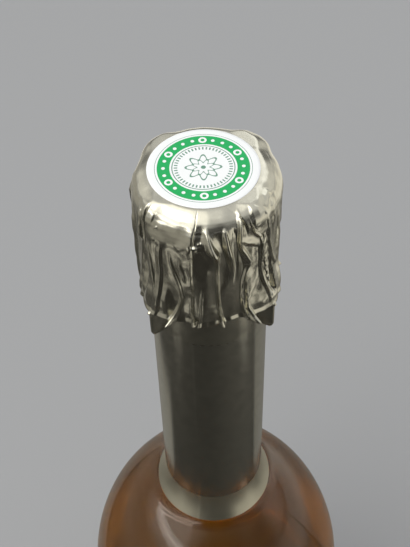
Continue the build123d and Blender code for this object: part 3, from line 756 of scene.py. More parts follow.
front_valleys = {
    "beside_left_leg": [
        (44.4, -49.6, 0.0, 2, 2), (43, -50.4, 0.5, 2.4, 1.6), (40, -51.4, 0.7, 2.6, 1.6),
        (35, -52, 0.7, 3, 2.4), (27, -53.4, 0.6, 3.6, 3.4), (20, -54.4, 0.5, 4, 4),
        (13, -58, 0.0, 4, 4),
    ],
    "hooked": [
        (44.4, 62, 0.0, 2, 3), (43.4, 64, 0.6, 2, 4), (40, 63.6, 0.8, 1.6, 4),
        (35, 64.6, 0.7, 2, 4), (30, 66, 0.4, 3, 4), (26, 67, 0.0, 3, 4),
    ],
    "dome_crease": [
        (45.7, 18, 0.0, 0.7, 2), (45, 22, 0.25, 0.7, 2), (43.8, 26.4, 0.35, 0.7, 1.8),
        (42.4, 28.6, 0.45, 0.8, 1.4), (40.4, 29.6, 0.3, 1, 2), (38.6, 30, 0.0, 1, 2),
    ],
    "dome_seam": [
        (45.8, -8.8, 0.0, 0.5, 0.5), (45.2, -9.2, 0.16, 0.5, 0.5), (42, -10, 0.2, 0.5, 0.5),
        (39.2, -11, 0.2, 0.5, 0.5), (38.6, -11.2, 0.0, 0.5, 0.5),
    ],
    "dark_cloud": [
        (44, -19, 0.0, 6, 6), (42, -20, 0.16, 7, 6), (39.6, -21, 0.16, 7, 6),
        (37.4, -22, 0.0, 6, 6),
    ],
    "left_hollow": [
        (46, -40, 0.0, 10, 14), (44.4, -40, 0.3, 12, 16), (42.6, -40, 0.45, 12, 18),
        (40, -38, 0.25, 12, 16), (37.6, -38, 0.0, 10, 14),
    ],
    "above_loop": [
        (43.6, -6, 0.0, 5, 4), (41.6, -6, 0.45, 6, 4), (40, -6.4, 0.4, 6, 4), (38.6, -7, 0.0, 5, 4),
    ],
    "between_right": [
        (42.4, 19.4, 0.0, 1.6, 2), (40.6, 19.8, 0.5, 1.8, 2.4), (36, 20.4, 0.5, 2, 2.4),
        (30, 21, 0.3, 2.4, 2.4), (24, 21, 0.0, 2.4, 2.4),
    ],
}
# Folds that run round: (azimuth, height above the rim, height, reach down, reach up)
front_shelves = {
    "left_band": [
        (-49, 37, 0.0, 2, 7), (-45, 36.8, 0.2, 2.4, 7), (-38, 36.8, 0.28, 2.6, 7),
        (-30, 37, 0.2, 2.6, 7), (-23, 37, 0.28, 2.4, 6.6), (-18, 38, 0.15, 2, 5),
        (-15, 38.6, 0.0, 2, 4),
    ],
    "left_spot": [
        (-47, 36.8, 0.0, 0.8, 1.2), (-42.6, 37.2, 0.35, 0.8, 1.6), (-37, 37.4, 0.0, 0.8, 1.2),
    ],
    "mid_spot": [
        (-28, 37, 0.0, 0.7, 1.2), (-24.4, 37.3, 0.4, 0.8, 1.4), (-20, 37.8, 0.0, 0.7, 1.2),
    ],
    "dash": [
        (-43.4, 40.2, 0.0, 0.5, 0.6), (-40, 40.9, 0.35, 0.6, 0.7), (-37.6, 40.6, 0.0, 0.5, 0.6),
    ],
    "loop_top": [
        (-12.4, 38.4, 0.4, 0.5, 0.5), (-9, 38.7, 0.4, 0.5, 0.5), (-5.6, 38.3, 0.0, 0.5, 0.5),
    ],
    "loop_foot": [(-12.6, 33.8, 0.4, 0.5, 0.5), (-8.6, 34.0, 0.0, 0.5, 0.5)],
    "loop_inner": [
        (-10.6, 36.8, 0.0, 0.4, 0.5), (-8, 37.5, 0.3, 0.5, 0.5), (-4.4, 37.8, 0.0, 0.4, 0.4),
    ],
    "right_shelf": [
        (23.4, 39.4, 0.0, 0.5, 1.2), (26, 38.0, 0.35, 0.8, 1.8), (30, 37.0, 0.5, 0.9, 2.2),
        (35, 36.2, 0.55, 1.1, 2.6), (39, 35.2, 0.5, 1.2, 2.6), (42.4, 34.4, 0.3, 1.3, 2.4),
        (45, 34, 0.0, 1, 2),
    ],
    "blister_foot": [
        (32.6, 43.4, 0.0, 0.7, 0.6), (33.8, 41.8, 0.55, 0.9, 0.7), (35.6, 39.9, 0.7, 0.9, 0.7),
        (39, 38.2, 0.7, 0.8, 0.8), (43, 37.1, 0.0, 0.8, 0.8),
    ],
    "blister_top": [
        (33.4, 43.2, 0.0, 3, 0.9), (36.5, 44, 0.5, 5, 1.1), (41, 43.8, 0.55, 5, 1.1),
        (46, 43.2, 0.35, 4, 1), (50, 42.6, 0.0, 3, 0.8),
    ],
    "right_rim": [
        (50, 43, 0.0, 4, 1), (56, 44, 0.4, 5, 1.2), (63, 44.2, 0.45, 5, 1.2), (72, 43.6, 0.0, 4, 1),
    ],
    "full_back": [
        (66, 40, 0.0, 6, 4), (85, 40.6, 0.5, 8, 4.4), (105, 41.4, 0.9, 9, 4),
        (125, 42, 0.9, 9, 3.4), (150, 42, 0.4, 9, 3.4), (168, 42, 0.0, 8, 3),
    ],
    "left_rim": [
        (-68, 43.2, 0.0, 4, 1), (-60, 43.6, 0.3, 4, 1.1), (-51.6, 43.8, 0.45, 5, 1.1),
        (-44, 44, 0.3, 4, 1.2), (-36, 43.8, 0.0, 3, 1),
    ],
}
# Azimuths of the cage's eyes, round which the foil is pinched
ears = {"front_right": 54.4, "front_left": -47.6, "back_right": 132.0, "back_left": 228.0}
# The leg that shows its twist: (height above the rim, azimuth), height of half a turn and relief
twisted_leg = [(13.5, 54.0), (16.5, 52.5), (22.5, 50.0), (28.5, 47.5), (34.5, 45.1), (40.5, 43.0)]
half_turn = 2.8
strand_relief = 0.36


def hood_rows():
    """Radius, height and distance along the foil of each row of points, from rim to top."""
    section = np.array([(radius, hood_foot + level) for level, radius in hood_section])
    run = np.concatenate([[0], np.cumsum(np.hypot(*np.diff(section, axis=0).T))])
    stops = [0, *np.interp(span_levels, section[:, 1] - hood_foot, run), run[-1]]
    spans = [np.linspace(low, high, count, endpoint=False)
             for low, high, count in zip(stops, stops[1:], span_rows)]
    along = np.concatenate([*spans, run[-1:]])
    radius = np.interp(along, run, section[:, 0])
    height = np.interp(along, run, section[:, 1])
    flat = np.array([10.0, 6.0, 2.0])
    along = np.concatenate([along, along[-1] + radius[-1] - flat])
    radius = np.concatenate([radius, flat])
    height = np.concatenate([height, np.full(len(flat), hood_top - 0.05)])
    return radius, height, along


def crest(position, width_low, width_high, sharpness):
    """A bell: 1 at 0, falling to 0 at the two reaches, and narrower where it is sharper."""
    width = np.where(position < 0, width_low, width_high)
    share = np.clip(np.abs(position) / np.maximum(width, 1e-6), 0, 1)
    return (0.5 + 0.5 * np.cos(math.pi * share)) ** sharpness


def wrap(angle):
    """The same angle in degrees, from -180 to 180."""
    return (angle + 180) % 360 - 180


def ramp(value, none, full):
    """0 at the first limit and past it, 1 at the second and past it, a straight line between."""
    return np.clip((value - none) / (full - none), 0, 1)


def traced(stops, run):
    """Where a fold reaches along its run, and its middle, height and two reaches there."""
    keys, *columns = np.array(sorted(stops), float).T
    inside = (run >= keys[0]) & (run <= keys[-1])
    return inside, *(np.interp(run, keys, column) for column in columns)


def ridge(stops, level, azimuth):
    """Relief of one upright fold over the grid."""
    inside, middle, height, left, right = traced(stops, level)
    taller, wider = 1.2, 1.1
    side = wrap(azimuth - middle)
    return inside * height * taller * crest(side, left * wider, right * wider, 1.15)


def shelf(stops, level, azimuth):
    """Relief of one fold that runs round the hood."""
    inside, middle, height, down, upward = traced(stops, wrap(azimuth))
    return inside * height * crest(level - middle, down, upward, 1.0)


def back_pleats(seed):
    """Pleats where the photograph doesn't reach, at uneven spacing."""
    random = np.random.default_rng(seed)
    swell = np.array([0.0, 1.0, 0.8, 0.9, 1.2, 2.2])
    widen = np.array([1.0, 1.3, 0.8, 0.8, 1.0, 1.5])
    pleats = []
    azimuth = 84.0
    while azimuth < 272:
        sway = random.normal(0, 1.8, 6).cumsum()
        size = random.uniform(0.35, 0.8)
        left, right = random.uniform(1.8, 4.5, 2)
        top = random.uniform(36, 44)
        levels = [top, top - 4, 28, 20, 14, 9.9]
        pleats.append(list(zip(levels, azimuth + sway, swell * size, left * widen, right * widen)))
        azimuth += random.uniform(7, 13)
    return pleats


def back_shelves(seed):
    """Short folds round the shoulder at the sides and the back."""
    random = np.random.default_rng(seed + 1)
    shelves = []
    for _ in range(12):
        start = random.uniform(78, 262)
        width = random.uniform(10, 26)
        level = random.uniform(33, 42)
        tilt = random.normal(0, 1.5)
        size = random.uniform(0.25, 0.6)
        shelves.append([
            (wrap(start), level, 0.0, 0.8, 1.5),
            (wrap(start) + width / 2, level + tilt / 2, size, 0.9, 2.4),
            (wrap(start) + width, level + tilt, 0.0, 0.8, 1.5),
        ])
    return shelves


def hood_relief(level, azimuth, seed):
    """Outward relief of the foil's folds, in mm."""
    blend = 0.08
    relief = np.zeros(level.shape)
    for stops in (*front_ridges.values(), *back_pleats(seed)):
        relief = higher(relief, ridge(stops, level, azimuth), blend)
    for stops in (*front_shelves.values(), *back_shelves(seed)):
        relief = higher(relief, shelf(stops, level, azimuth), blend)
    for stops in front_valleys.values():
        relief -= ridge(stops, level, azimuth)
    return relief


def hood_ears(level, azimuth, radius):
    """Relief of the leaves of foil that hang round the eyes of the cage."""
    leaf_top = 17.5
    reach = np.interp(level, [1.5, 1.9, 2.8, 5, 9, 12, 14, 17],
                      [15.0, 17.6, 18.9, 19.2, 19.0, 18.6, 18.0, 17.2])
    half = 1.2 * np.interp(level, [1.5, 2.8, 5, 8, 11, 14, 17], [1.4, 2.4, 3.8, 5.2, 5.6, 5, 4])
    relief = np.zeros(level.shape)
    for middle in ears.values():
        side = wrap(azimuth - middle)
        pinch = 0.4 * crest(side + 2.6, 1.5, 1.2, 1.0) - 0.35 * crest(side - 2.2, 1.2, 1.5, 1.0)
        leaf = (np.clip(reach - radius, 0, None) + pinch) * crest(side, half, half, 0.85)
        relief = np.maximum(relief, leaf * (level < leaf_top))
    return relief


def covered_wires():
    """One search tree of the CAD meshes that the foil lies over."""
    corners, polygons = [], []
    for name in ("cage_cap", *cage_wires):
        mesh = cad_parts[name].data
        start = len(corners)
        corners.extend(vertex.co for vertex in mesh.vertices)
        polygons.extend([start + index for index in face.vertices] for face in mesh.polygons)
    return BVHTree.FromPolygons(corners, polygons)


def wire_height(points, normals, reach=4.6):
    """How far the wires stand out over each point, in mm, and far below where there is none."""
    tree = covered_wires()
    height = np.full(points.shape[:-1], -reach)
    for index in np.ndindex(height.shape):
        normal = Vector(normals[index])
        origin = (Vector(points[index]) + normal * reach) * mm
        distance = tree.ray_cast(origin, -normal, 2 * reach * mm)[3]
        if distance is not None:
            height[index] = reach - distance / mm
    return height


def spread(field, rows, columns):
    """The highest value within some rows and columns."""
    for _ in range(columns):
        field = np.maximum(field, np.maximum(np.roll(field, 1, 1), np.roll(field, -1, 1)))
    for _ in range(rows):
        field[1:-1] = np.maximum(field[1:-1], np.maximum(field[:-2], field[2:]))
    return field


def softened(field, rounds):
    """A few passes of averaging with the neighbours."""
    for _ in range(rounds):
        field = (np.roll(field, 1, 1) + np.roll(field, -1, 1) + 2 * field) / 4
        field[1:-1] = (field[:-2] + field[2:] + 2 * field[1:-1]) / 4
    return field


def higher(first, second, blend):
    """The higher of two reliefs, with the corner between them rounded."""
    near = np.clip(blend - np.abs(first - second), 0, None) / blend
    return np.maximum(first, second) + near**2 * blend / 4


def draped(height, along, azimuth, radius, falls, seed):
    """Foil stretched over the wires: each wire point holds up a tent that falls away from it.

    The falls are in mm per mm round, down and up, and vary from patch to patch.
    """
    patches, rounds = (16, 40), 90
    uneven = np.random.default_rng(seed).uniform(0.8, 1.25, patches)
    rows = np.linspace(0, patches[0] - 1, height.shape[0])
    columns = np.linspace(0, patches[1] - 1, height.shape[1])
    uneven = np.array([np.interp(columns, np.arange(patches[1]), line) for line in uneven])
    uneven = np.array([np.interp(rows, np.arange(patches[0]), line) for line in uneven.T]).T
    fall_round, fall_down, fall_up = (fall * uneven for fall in falls)
    step_round = np.radians(np.abs(wrap(np.roll(azimuth, -1, 1) - azimuth))) * radius
    step_up = np.diff(along)[:, None]
    tent = height
    for _ in range(rounds):
        left = np.roll(tent, 1, 1) - fall_round * np.roll(step_round, 1, 1)
        right = np.roll(tent, -1, 1) - fall_round * step_round
        tent = np.maximum(tent, np.maximum(left, right))
        tent[1:] = np.maximum(tent[1:], tent[:-1] - fall_up[1:] * step_up)
        tent[:-1] = np.maximum(tent[:-1], tent[1:] - fall_down[:-1] * step_up)
    return tent


def hood_cover(wires, level, along, azimuth, radius, seed):
    """The drape over the wires: close on the twisted leg's outer side, and slack elsewhere."""
    tight_falls = (0.9, 0.5, 0.5)
    slack_falls = (0.32, 0.3 * ramp(level, 15, 17), 0.16)
    close = draped(wires, along, azimuth, radius, tight_falls, seed)
    slack = softened(draped(spread(wires, 5, 4), along, azimuth, radius, slack_falls, seed), 12)
    levels, middles = zip(*twisted_leg)
    side = wrap(azimuth) - np.interp(level, levels, middles)
    showing = ramp(side, -3, -1.5) * ramp(side, 6, 3.5)
    showing = showing * ramp(level, 14, 16) * ramp(level, 38.5, 36.5)
    twist = math.tau * level / half_turn - side * 0.8
    strand = strand_relief * np.sin(twist) * crest(side, 2.8, 3.2, 0.8)
    return slack * (1 - showing) + (close + strand) * showing


def crumple(points, size, amount):
    """Small uneven relief at each point, from smooth noise."""
    values = [noise.noise(Vector(point) / size) for point in points.reshape(-1, 3)]
    return np.array(values).reshape(points.shape[:-1]) * amount


def hood_surface(settings, azimuths):
    """Rows of points of the foil's outer side, from the rim to near the axis.

    The drape, the folds and the unevenness stand over the crinkles' foot, the leaves round the
    eyes also below it, and everywhere the foil clears the wires and flattens out under the seal.
    """
    radius, height, along = hood_rows()
    levels = height - hood_foot
    lean = np.radians(np.interp(levels, [39.5, 42, 43.6, 44.8, 45.6], [0, 22, 45, 65, 90]))
    level, azimuth = np.meshgrid(levels, azimuths, indexing="ij")
    rows = (radius, height, np.cos(lean), np.sin(lean))
    radius, height, out_r, out_z = (np.broadcast_to(row[:, None], level.shape) for row in rows)
    plain = turned(azimuth, radius, height)
    wires = wire_height(plain, turned(azimuth, out_r, out_z)) + settings.thickness / mm + wire_gap
    upper_wires = np.where(level > drape_foot, wires, no_wire)
    slack = hood_cover(upper_wires, level, along, azimuth, radius, settings.seed)
    upright = plain * np.array([1, 1, 0.3])
    uneven = crumple(upright, 2.4, 0.3) + crumple(plain, 6.0, 0.25) + crumple(plain, 1.8, 0.06)
    uneven *= np.interp(level, [36, 42, 46], [1.0, 0.5, 0.25])
    relief = higher(slack, 0 * slack, 0.5) + hood_relief(level, azimuth, settings.seed) + uneven
    crinkled = ramp(level, crinkle_foot, crinkle_foot + 0.2)
    relief = relief * crinkled + crumple(upright, 3.0, 0.03) * (1 - crinkled)
    relief = higher(relief, hood_ears(level, azimuth, radius), 0.3)
    close = softened(spread(wires, 2, 1), 1)
    close = np.where(level > dome_foot, softened(spread(wires, 5, 5), 22), close)
    relief = np.maximum(relief, close) * ramp(level, 45.84, 45.59)
    new_height = np.minimum(height + relief * out_z, hood_top - 0.02)
    return turned(azimuth, radius + relief * out_r, new_height)


def hood_azimuths(settings):
    """Azimuths of the columns, closer together in front than behind."""
    side = 80
    front = np.linspace(-side, side, settings.columns, endpoint=False)
    back = np.linspace(side, 360 - side, settings.columns * 3 // 7, endpoint=False)
    return np.concatenate([front, back])


def shrunk(rows, amount):
    """The surface moved inwards along its normals."""
    along_row = np.roll(rows, -1, 1) - np.roll(rows, 1, 1)
    down = np.gradient(rows, axis=0)
    normal = np.cross(along_row, down)
    normal /= np.maximum(np.linalg.norm(normal, axis=-1, keepdims=True), 1e-9)
    return rows - normal * amount


class BOTTLE_OT_hood(bpy.types.Operator):
    """Crumples the foil hood over the cork and the cage"""

    bl_idname = "bottle.hood"
    bl_label = "Foil hood"

    def execute(self, context):
        settings = context.scene.bottle_hood
        azimuths = hood_azimuths(settings)
        thickness = settings.thickness / mm
        outer = hood_surface(settings, azimuths)
        inner = shrunk(outer, thickness)[::3, ::2]
        columns, inner_columns = len(azimuths), inner.shape[1]
        start = len(outer) * columns
        total = start + len(inner) * inner_columns
        faces = grid_faces(len(outer), columns)
        faces += grid_faces(len(inner), inner_columns, start, inward=True)
        for column in range(inner_columns):
            near, middle, far = 2 * column, 2 * column + 1, (2 * column + 2) % columns
            here, after = start + column, start + (column + 1) % inner_columns
            faces += [(here, middle, near), (here, after, middle), (after, far, middle)]
        faces += fan(total, start - columns, columns)
        faces += fan(total + 1, total - inner_columns, inner_columns, inward=True)
        poles = [(0, 0, hood_top - 0.05), (0, 0, hood_top - 0.05 - thickness)]
        points = np.concatenate([outer.reshape(-1, 3), inner.reshape(-1, 3), poles])
        material = foil_finish("hood_foil", settings.colour, settings.roughness)
        piece("foil_hood_crumpled", points, faces, material, "hood", "foil", "foil_hood")
        return {"FINISHED"}


# Seal on the hood


class SealSettings(bpy.types.PropertyGroup):
    shift_x: size_property("Shift X", "Sideways offset of the seal", -0.45)
    shift_y: size_property("Shift Y", "Offset of the seal to the back", 0.0)
    band_inner: size_property("Band inside", "Inner radius of the green band", 7.5)
    band_outer: size_property("Band outside", "Outer radius of the green band", 10.3)
    paper: colour_property("Paper", "Colour of the paper", (0.9, 0.92, 0.93))
    green: colour_property("Green", "Colour of the printed band", (0.002, 0.4, 0.1))
    ink: colour_property("Ink", "Colour of the thin lines", (0.03, 0.2, 0.11))


class BOTTLE_OT_seal(bpy.types.Operator):
    """Lays the printed paper seal on the hood"""

    bl_idname = "bottle.seal"
    bl_label = "Seal"

    def execute(self, context):
        settings = context.scene.bottle_seal
        radius = radius_of("top_seal_disc")
        foot, top = foot_of("top_seal_disc"), top_of("top_seal_disc")
        shift = np.array([settings.shift_x / mm, settings.shift_y / mm, 0])

        def lay(ring):
            """Bends the edge of the paper down, unevenly."""
            bent = ring.copy()
            far = np.hypot(ring[:, 0], ring[:, 1]) / radius
            angle = np.arctan2(ring[:, 0], -ring[:, 1])
            bent[:, 2] -= 0.04 * far**6 * (1 + np.sin(3 * angle + 1) * 0.6)
            return bent + shift

        low = [(r, foot) for r in np.linspace(0, radius - 0.05, 10)]
        high = [(r, top) for r in np.linspace(radius - 0.05, 0, 24)]
        points, faces = lathe(low + [(radius, (foot + top) / 2)] + high, 180, lay)
        material = seal_finish(settings)
        piece("seal_printed", points, faces, material, "hood", "seal_paper", "top_seal_disc")
        return {"FINISHED"}


# Neck foil, tear strip and its perforations


class NeckFoilSettings(bpy.types.PropertyGroup):
    colour: colour_property("Foil colour", "Colour of the neck foil", (0.68, 0.66, 0.56))
    band_height: size_property("Foot band", "Height of the paler band at the foot", 10.3)
    seam: angle_property("Seam", "Azimuth of the overlap", -17)
    perforations: IntProperty(name="Perforations", default=46,
                              description="Ties round the tear line")
    tie_share: FloatProperty(name="Tie share", description="Share of the tear line that holds",
                             default=0.5, min=0.05, max=0.95)


def seamed(seam, step=0.06, reach=60):
    """Moves a ring out where the foil overlaps itself, by a step that fades over its reach."""

    def shape(ring, azimuths):
        off = wrap(azimuths - seam)
        lift = step * np.where((off > 0) & (off < reach), 1 - off / reach, 0)
        return ring + turned(azimuths, lift, 0.0)

    return shape


class BOTTLE_OT_neck_foil(bpy.types.Operator):
    """Wraps the smooth neck foil and the tear strip round the neck"""

    bl_idname = "bottle.neck_foil"
    bl_label = "Neck foil"

    def execute(self, context):
        settings = context.scene.bottle_neck_foil
        profile = Profile(context.scene.bottle_glass)
        foot = foot_of("neck_foil")
        strip_foot, strip_top = foot_of("tear_strip"), top_of("tear_strip")
        seam = math.degrees(settings.seam)
        azimuths = np.sort(np.append(np.arange(0, 360, 2.0), seam + 360 + 0.05))
        material = foil_finish("neck_foil", settings.colour, 0.17, foot + settings.band_height / mm)
        for name, node, low, high, rows, crimp in (
            ("neck_foil_sleeve", "neck_foil", foot, strip_foot - 0.02, 60, 0.12),
            ("tear_strip_band", "tear_strip", strip_foot, strip_top, 14, 0.0),
        ):
            inner = [(profile.outer(z) + 0.1, z) for z in np.linspace(low, high, rows)]
            outer = [(r + 0.25, z) for r, z in inner]
            outer[0] = (outer[0][0] - crimp, low)
            points, faces = sleeve(outer + inner[::-1], azimuths, seamed(seam))
            piece(name, points, faces, material, "bottle", "foil", node)
        return {"FINISHED"}


class Nodes:
    """A geometry node group under construction, with named inputs for its sizes."""

    def __init__(self, name, **sizes):
        self.group = bpy.data.node_groups.new(name, "GeometryNodeTree")
        interface = self.group.interface
        interface.new_socket("Geometry", in_out="OUTPUT", socket_type="NodeSocketGeometry")
        self.identifiers = {}
        for label, value in sizes.items():
            kind = "NodeSocketInt" if isinstance(value, int) else "NodeSocketFloat"
            socket = interface.new_socket(label, in_out="INPUT", socket_type=kind)
            socket.default_value = value
            self.identifiers[label] = socket.identifier
        self.sizes = sizes
        self.entry = self.group.nodes.new("NodeGroupInput")
        self.exit = self.group.nodes.new("NodeGroupOutput")

    def size(self, label):
        return self.entry.outputs[label]

    def add(self, kind, inputs=None, output=0, **settings):
        node = self.group.nodes.new(kind)
        for name, value in settings.items():
            setattr(node, name, value)
        for key, value in (inputs or {}).items():
            if isinstance(value, bpy.types.NodeSocket):
                self.group.links.new(value, node.inputs[key])
            else:
                node.inputs[key].default_value = value
        return node.outputs[output]

    def finish(self, geometry, material):
        """Realises the instances, sets the material and returns the mesh."""
        realised = self.add("GeometryNodeRealizeInstances", {0: geometry})
        painted = self.add("GeometryNodeSetMaterial", {0: realised, "Material": material})
        self.group.links.new(painted, self.exit.inputs[0])
        holder = bpy.data.objects.new(self.group.name, bpy.data.meshes.new(self.group.name))
        bpy.context.scene.collection.objects.link(holder)
        modifier = holder.modifiers.new("nodes", "NODES")
        modifier.node_group = self.group
        for label, value in self.sizes.items():
            modifier[self.identifiers[label]] = value
        graph = bpy.context.evaluated_depsgraph_get()
        mesh = bpy.data.meshes.new_from_object(holder.evaluated_get(graph))
        bpy.data.objects.remove(holder)
        return mesh


class BOTTLE_OT_perforations(bpy.types.Operator):
    """Ties the tear line together with the small bridges between its cuts"""

    bl_idname = "bottle.perforations"
    bl_label = "Perforations"

    def execute(self, context):
        settings = context.scene.bottle_neck_foil
        profile = Profile(context.scene.bottle_glass)
        line = top_of("tear_strip")
        gap = foot_of("foil_hood") - line
        radius = (profile.outer(line) + 0.34) * mm
        pitch = math.tau * radius / settings.perforations
        nodes = Nodes("perforation_ties", count=settings.perforations, ring_radius=radius,
                      tie_length=pitch * settings.tie_share, tie_height=(gap + 0.6) * mm,
                      tie_thickness=0.16 * mm, level=(line + gap / 2) * mm)
        ring = nodes.add("GeometryNodeMeshCircle",
                         {"Vertices": nodes.size("count"), "Radius": nodes.size("ring_radius")})
        lift = nodes.add("ShaderNodeCombineXYZ", {"Z": nodes.size("level")})
        ring = nodes.add("GeometryNodeTransform", {"Geometry": ring, "Translation": lift})
        sizes = {"X": nodes.size("tie_thickness"), "Y": nodes.size("tie_length"),
                 "Z": nodes.size("tie_height")}
        tie_size = nodes.add("ShaderNodeCombineXYZ", sizes)
        tie = nodes.add("GeometryNodeMeshCube", {"Size": tie_size})
        place = nodes.add("GeometryNodeInputPosition")
        flat = nodes.add("ShaderNodeVectorMath", {0: place, 1: (1.0, 1.0, 0.0)},
                         operation="MULTIPLY")
        facing = nodes.add("FunctionNodeAlignRotationToVector", {"Vector": flat},
                           axis="X", pivot_axis="Z")
        ties = nodes.add("GeometryNodeInstanceOnPoints",
                         {"Points": ring, "Instance": tie, "Rotation": facing})
        mesh = nodes.finish(ties, foil_finish("tie_foil", settings.colour, 0.2))
        made = bpy.data.objects.new("perforation_ties", mesh)
        context.scene.collection.objects.link(made)
        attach(made, "bottle")
        return {"FINISHED"}


class BOTTLE_OT_tear_tab(bpy.types.Operator):
    """Folds the end of the tear strip back as a tab"""

    bl_idname = "bottle.tear_tab"
    bl_label = "Tear tab"

    def execute(self, context):
        low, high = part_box("tear_tab")
        foot, top, radius = low.z / mm, high.z / mm, high.y / mm
        angle = math.degrees(math.asin(min(-low.x / mm / radius, 1.0)))
        thickness, round_from, steps = 0.24, 0.8, 28
        points = []
        for step in range(steps + 1):
            share = step / steps
            half = (top - foot) / 2
            if share > round_from:
                half *= math.sqrt(1 - ((share - round_from) / (1.005 - round_from)) ** 2)
            skin = radius - 0.1 + 0.05 * math.sin(share * 40) * min(share * 3, 1)
            inside = skin - thickness
            corners = ((skin, -half), (skin, half), (inside, half), (inside, -half))
            points += [turned(180 + angle * share, side, (top + foot) / 2 + height)
                       for side, height in corners]
        last = steps * 4
        faces = grid_faces(steps + 1, 4, inward=True)
        faces += [(0, 1, 2, 3), (last + 3, last + 2, last + 1, last)]
        material = foil_finish("tab_foil", context.scene.bottle_neck_foil.colour, 0.3)
        made = piece("tear_tab_folded", points, faces, material, "tear_tab", "foil", "tear_tab")
        made.data.shade_flat()
        return {"FINISHED"}


# Cork, cap and cage


class CapSettings(bpy.types.PropertyGroup):
    enamel: colour_property("Enamel", "Field of the cap", (0.8, 0.77, 0.68))
    ring: colour_property("Ring", "Darker ring of the cap", (0.03, 0.16, 0.09))
    rays: colour_property("Rays", "Fine lines of the cap", (0.62, 0.5, 0.24))


def finer(path, step):
    """The path with points about a step apart."""
    dense = path[:1]
    for before, after in zip(path, path[1:]):
        count = max(int(math.dist(before, after) / step), 1)
        for share in np.arange(1, count + 1) / count:
            dense.append(tuple(start + (end - start) * share for start, end in zip(before, after)))
    return dense


class BOTTLE_OT_cork(bpy.types.Operator):
    """Shapes the cork's pressed body and its two natural discs"""

    bl_idname = "bottle.cork"
    bl_label = "Cork"

    def execute(self, context):
        foot, top = foot_of("cork_body"), top_of("cork_body")
        seat = top_of("bottle_glass") + 0.2
        shaft = radius_of("cork_disc_upper")

        def pitted(ring):
            return ring - ring * np.array([1, 1, 0]) * np.abs(crumple(ring, 1.3, 0.012))[:, None]

        head = rounded(
            [
                (0.0, foot), (shaft, foot, 0.3), (shaft, seat, 0.5), (13.2, seat, 0.8),
                (14.15, seat + 4.0, 3.0), (14.38, (seat + top) / 2, 6.0), (14.15, top - 4.5, 3.0),
                (13.55, top, 1.4), (0.0, top),
            ],
            steps=8,
        )
        points, faces = lathe(finer(head, 0.6), 150, pitted)
        body = cork_finish("cork_pressed", natural=False)
        piece("cork_body_pressed", points, faces, body, "cork", "cork_agglomerate", "cork_body")
        natural = cork_finish("cork_natural", natural=True)
        for name in ("cork_disc_upper", "cork_disc_lower"):
            low, high = foot_of(name), top_of(name)
            disc = rounded([(0.0, low), (shaft, low, 0.35), (shaft, high, 0.2), (0.0, high)])
            points, faces = lathe(disc, 120)
            piece(name + "_natural", points, faces, natural, "cork", "cork_natural", name)
        return {"FINISHED"}


class BOTTLE_OT_cap(bpy.types.Operator):
    """Presses the metal cap that keeps the wire off the cork"""

    bl_idname = "bottle.cap"
    bl_label = "Metal cap"

    def execute(self, context):
        foot, top, rim = foot_of("cage_cap"), top_of("cage_cap"), radius_of("cage_cap")
        floor = top - 1.0
        sheet = 0.3
        outer = rounded([
            (0.0, top), (6.9, top, 0.5), (8.0, floor, 0.5), (11.2, floor, 0.3),
            (11.8, floor + 0.2, 0.3), (12.4, floor, 0.3), (rim, floor, 1.9), (rim, foot),
        ])
        under = rounded([
            (rim - sheet, foot), (rim - sheet, floor - sheet, 1.6), (8.1, floor - sheet, 0.4),
            (6.9, top - sheet, 0.4), (0.0, top - sheet),
        ])
        points, faces = lathe((outer + under)[::-1], 160)
        material = cap_finish(context.scene.bottle_cap)
        piece("cage_cap_pressed", points, faces, material, "cage", "cap_enamel", "cage_cap")
        return {"FINISHED"}


class BOTTLE_OT_cage(bpy.types.Operator):
    """Gives the wires of the cage their galvanised skin"""

    bl_idname = "bottle.cage"
    bl_label = "Wire cage"

    def execute(self, context):
        material = wire_finish()
        for name in cage_wires:
            paint(name, material)
        return {"FINISHED"}


# Labels


class LabelSettings(bpy.types.PropertyGroup):
    paper: colour_property("Paper", "Colour of the label", (0.84, 0.8, 0.7))
    print_colour: colour_property("Print", "Colour of the border", (0.55, 0.43, 0.22))


class BOTTLE_OT_labels(bpy.types.Operator):
    """Gives the labels their paper, border and plain print"""

    bl_idname = "bottle.labels"
    bl_label = "Labels"

    def execute(self, context):
        settings = context.scene.bottle_labels
        for name, middle, angle in (("front_label", 0.0, 136.0), ("back_label", 180.0, 84.0)):
            foot, top = foot_of(name), top_of(name)
            width = math.radians(angle) * radius_of("bottle_glass")
            paint(name, label_finish(name + "_paper", settings, middle, width, foot, top - foot))
        return {"FINISHED"}


# Stage


class StageSettings(bpy.types.PropertyGroup):
    focal: FloatProperty(name="Focal length", description="Focal length in pixels of the picture",
                         default=960.0)
    distance: size_property("Distance", "From the camera to the point it looks at", 238.7)
    pitch: angle_property("Pitch", "How far the camera looks down", 49.6)
    roll: angle_property("Roll", "Roll of the camera", -1.8)
    floor_colour: colour_property("Floor", "Colour of the floor", (0.36, 0.365, 0.375))


def area_light(name, place, aim, size, power, colour):
    """A soft rectangular lamp that faces a point."""
    data = bpy.data.lights.new(name, "AREA")
    data.shape = "RECTANGLE"
    data.size, data.size_y = size
    data.energy = power
    data.color = colour
    lamp = bpy.data.objects.new(name, data)
    lamp.location = place
    lamp.rotation_euler = (Vector(aim) - Vector(place)).to_track_quat("-Z", "Y").to_euler()
    bpy.context.scene.collection.objects.link(lamp)


def stage_sheet(name, corners, finish, reflected_only=False):
    """A flat sheet of the stage, which only reflections see where that is asked for."""
    mesh = bpy.data.meshes.new(name)
    mesh.from_pydata(corners, [], [(0, 1, 2, 3)])
    mesh.materials.append(finish.block)
    sheet = bpy.data.objects.new(name, mesh)
    bpy.context.scene.collection.objects.link(sheet)
    if reflected_only:
        for ray in ("camera", "diffuse", "shadow", "transmission"):
            setattr(sheet, "visible_" + ray, False)


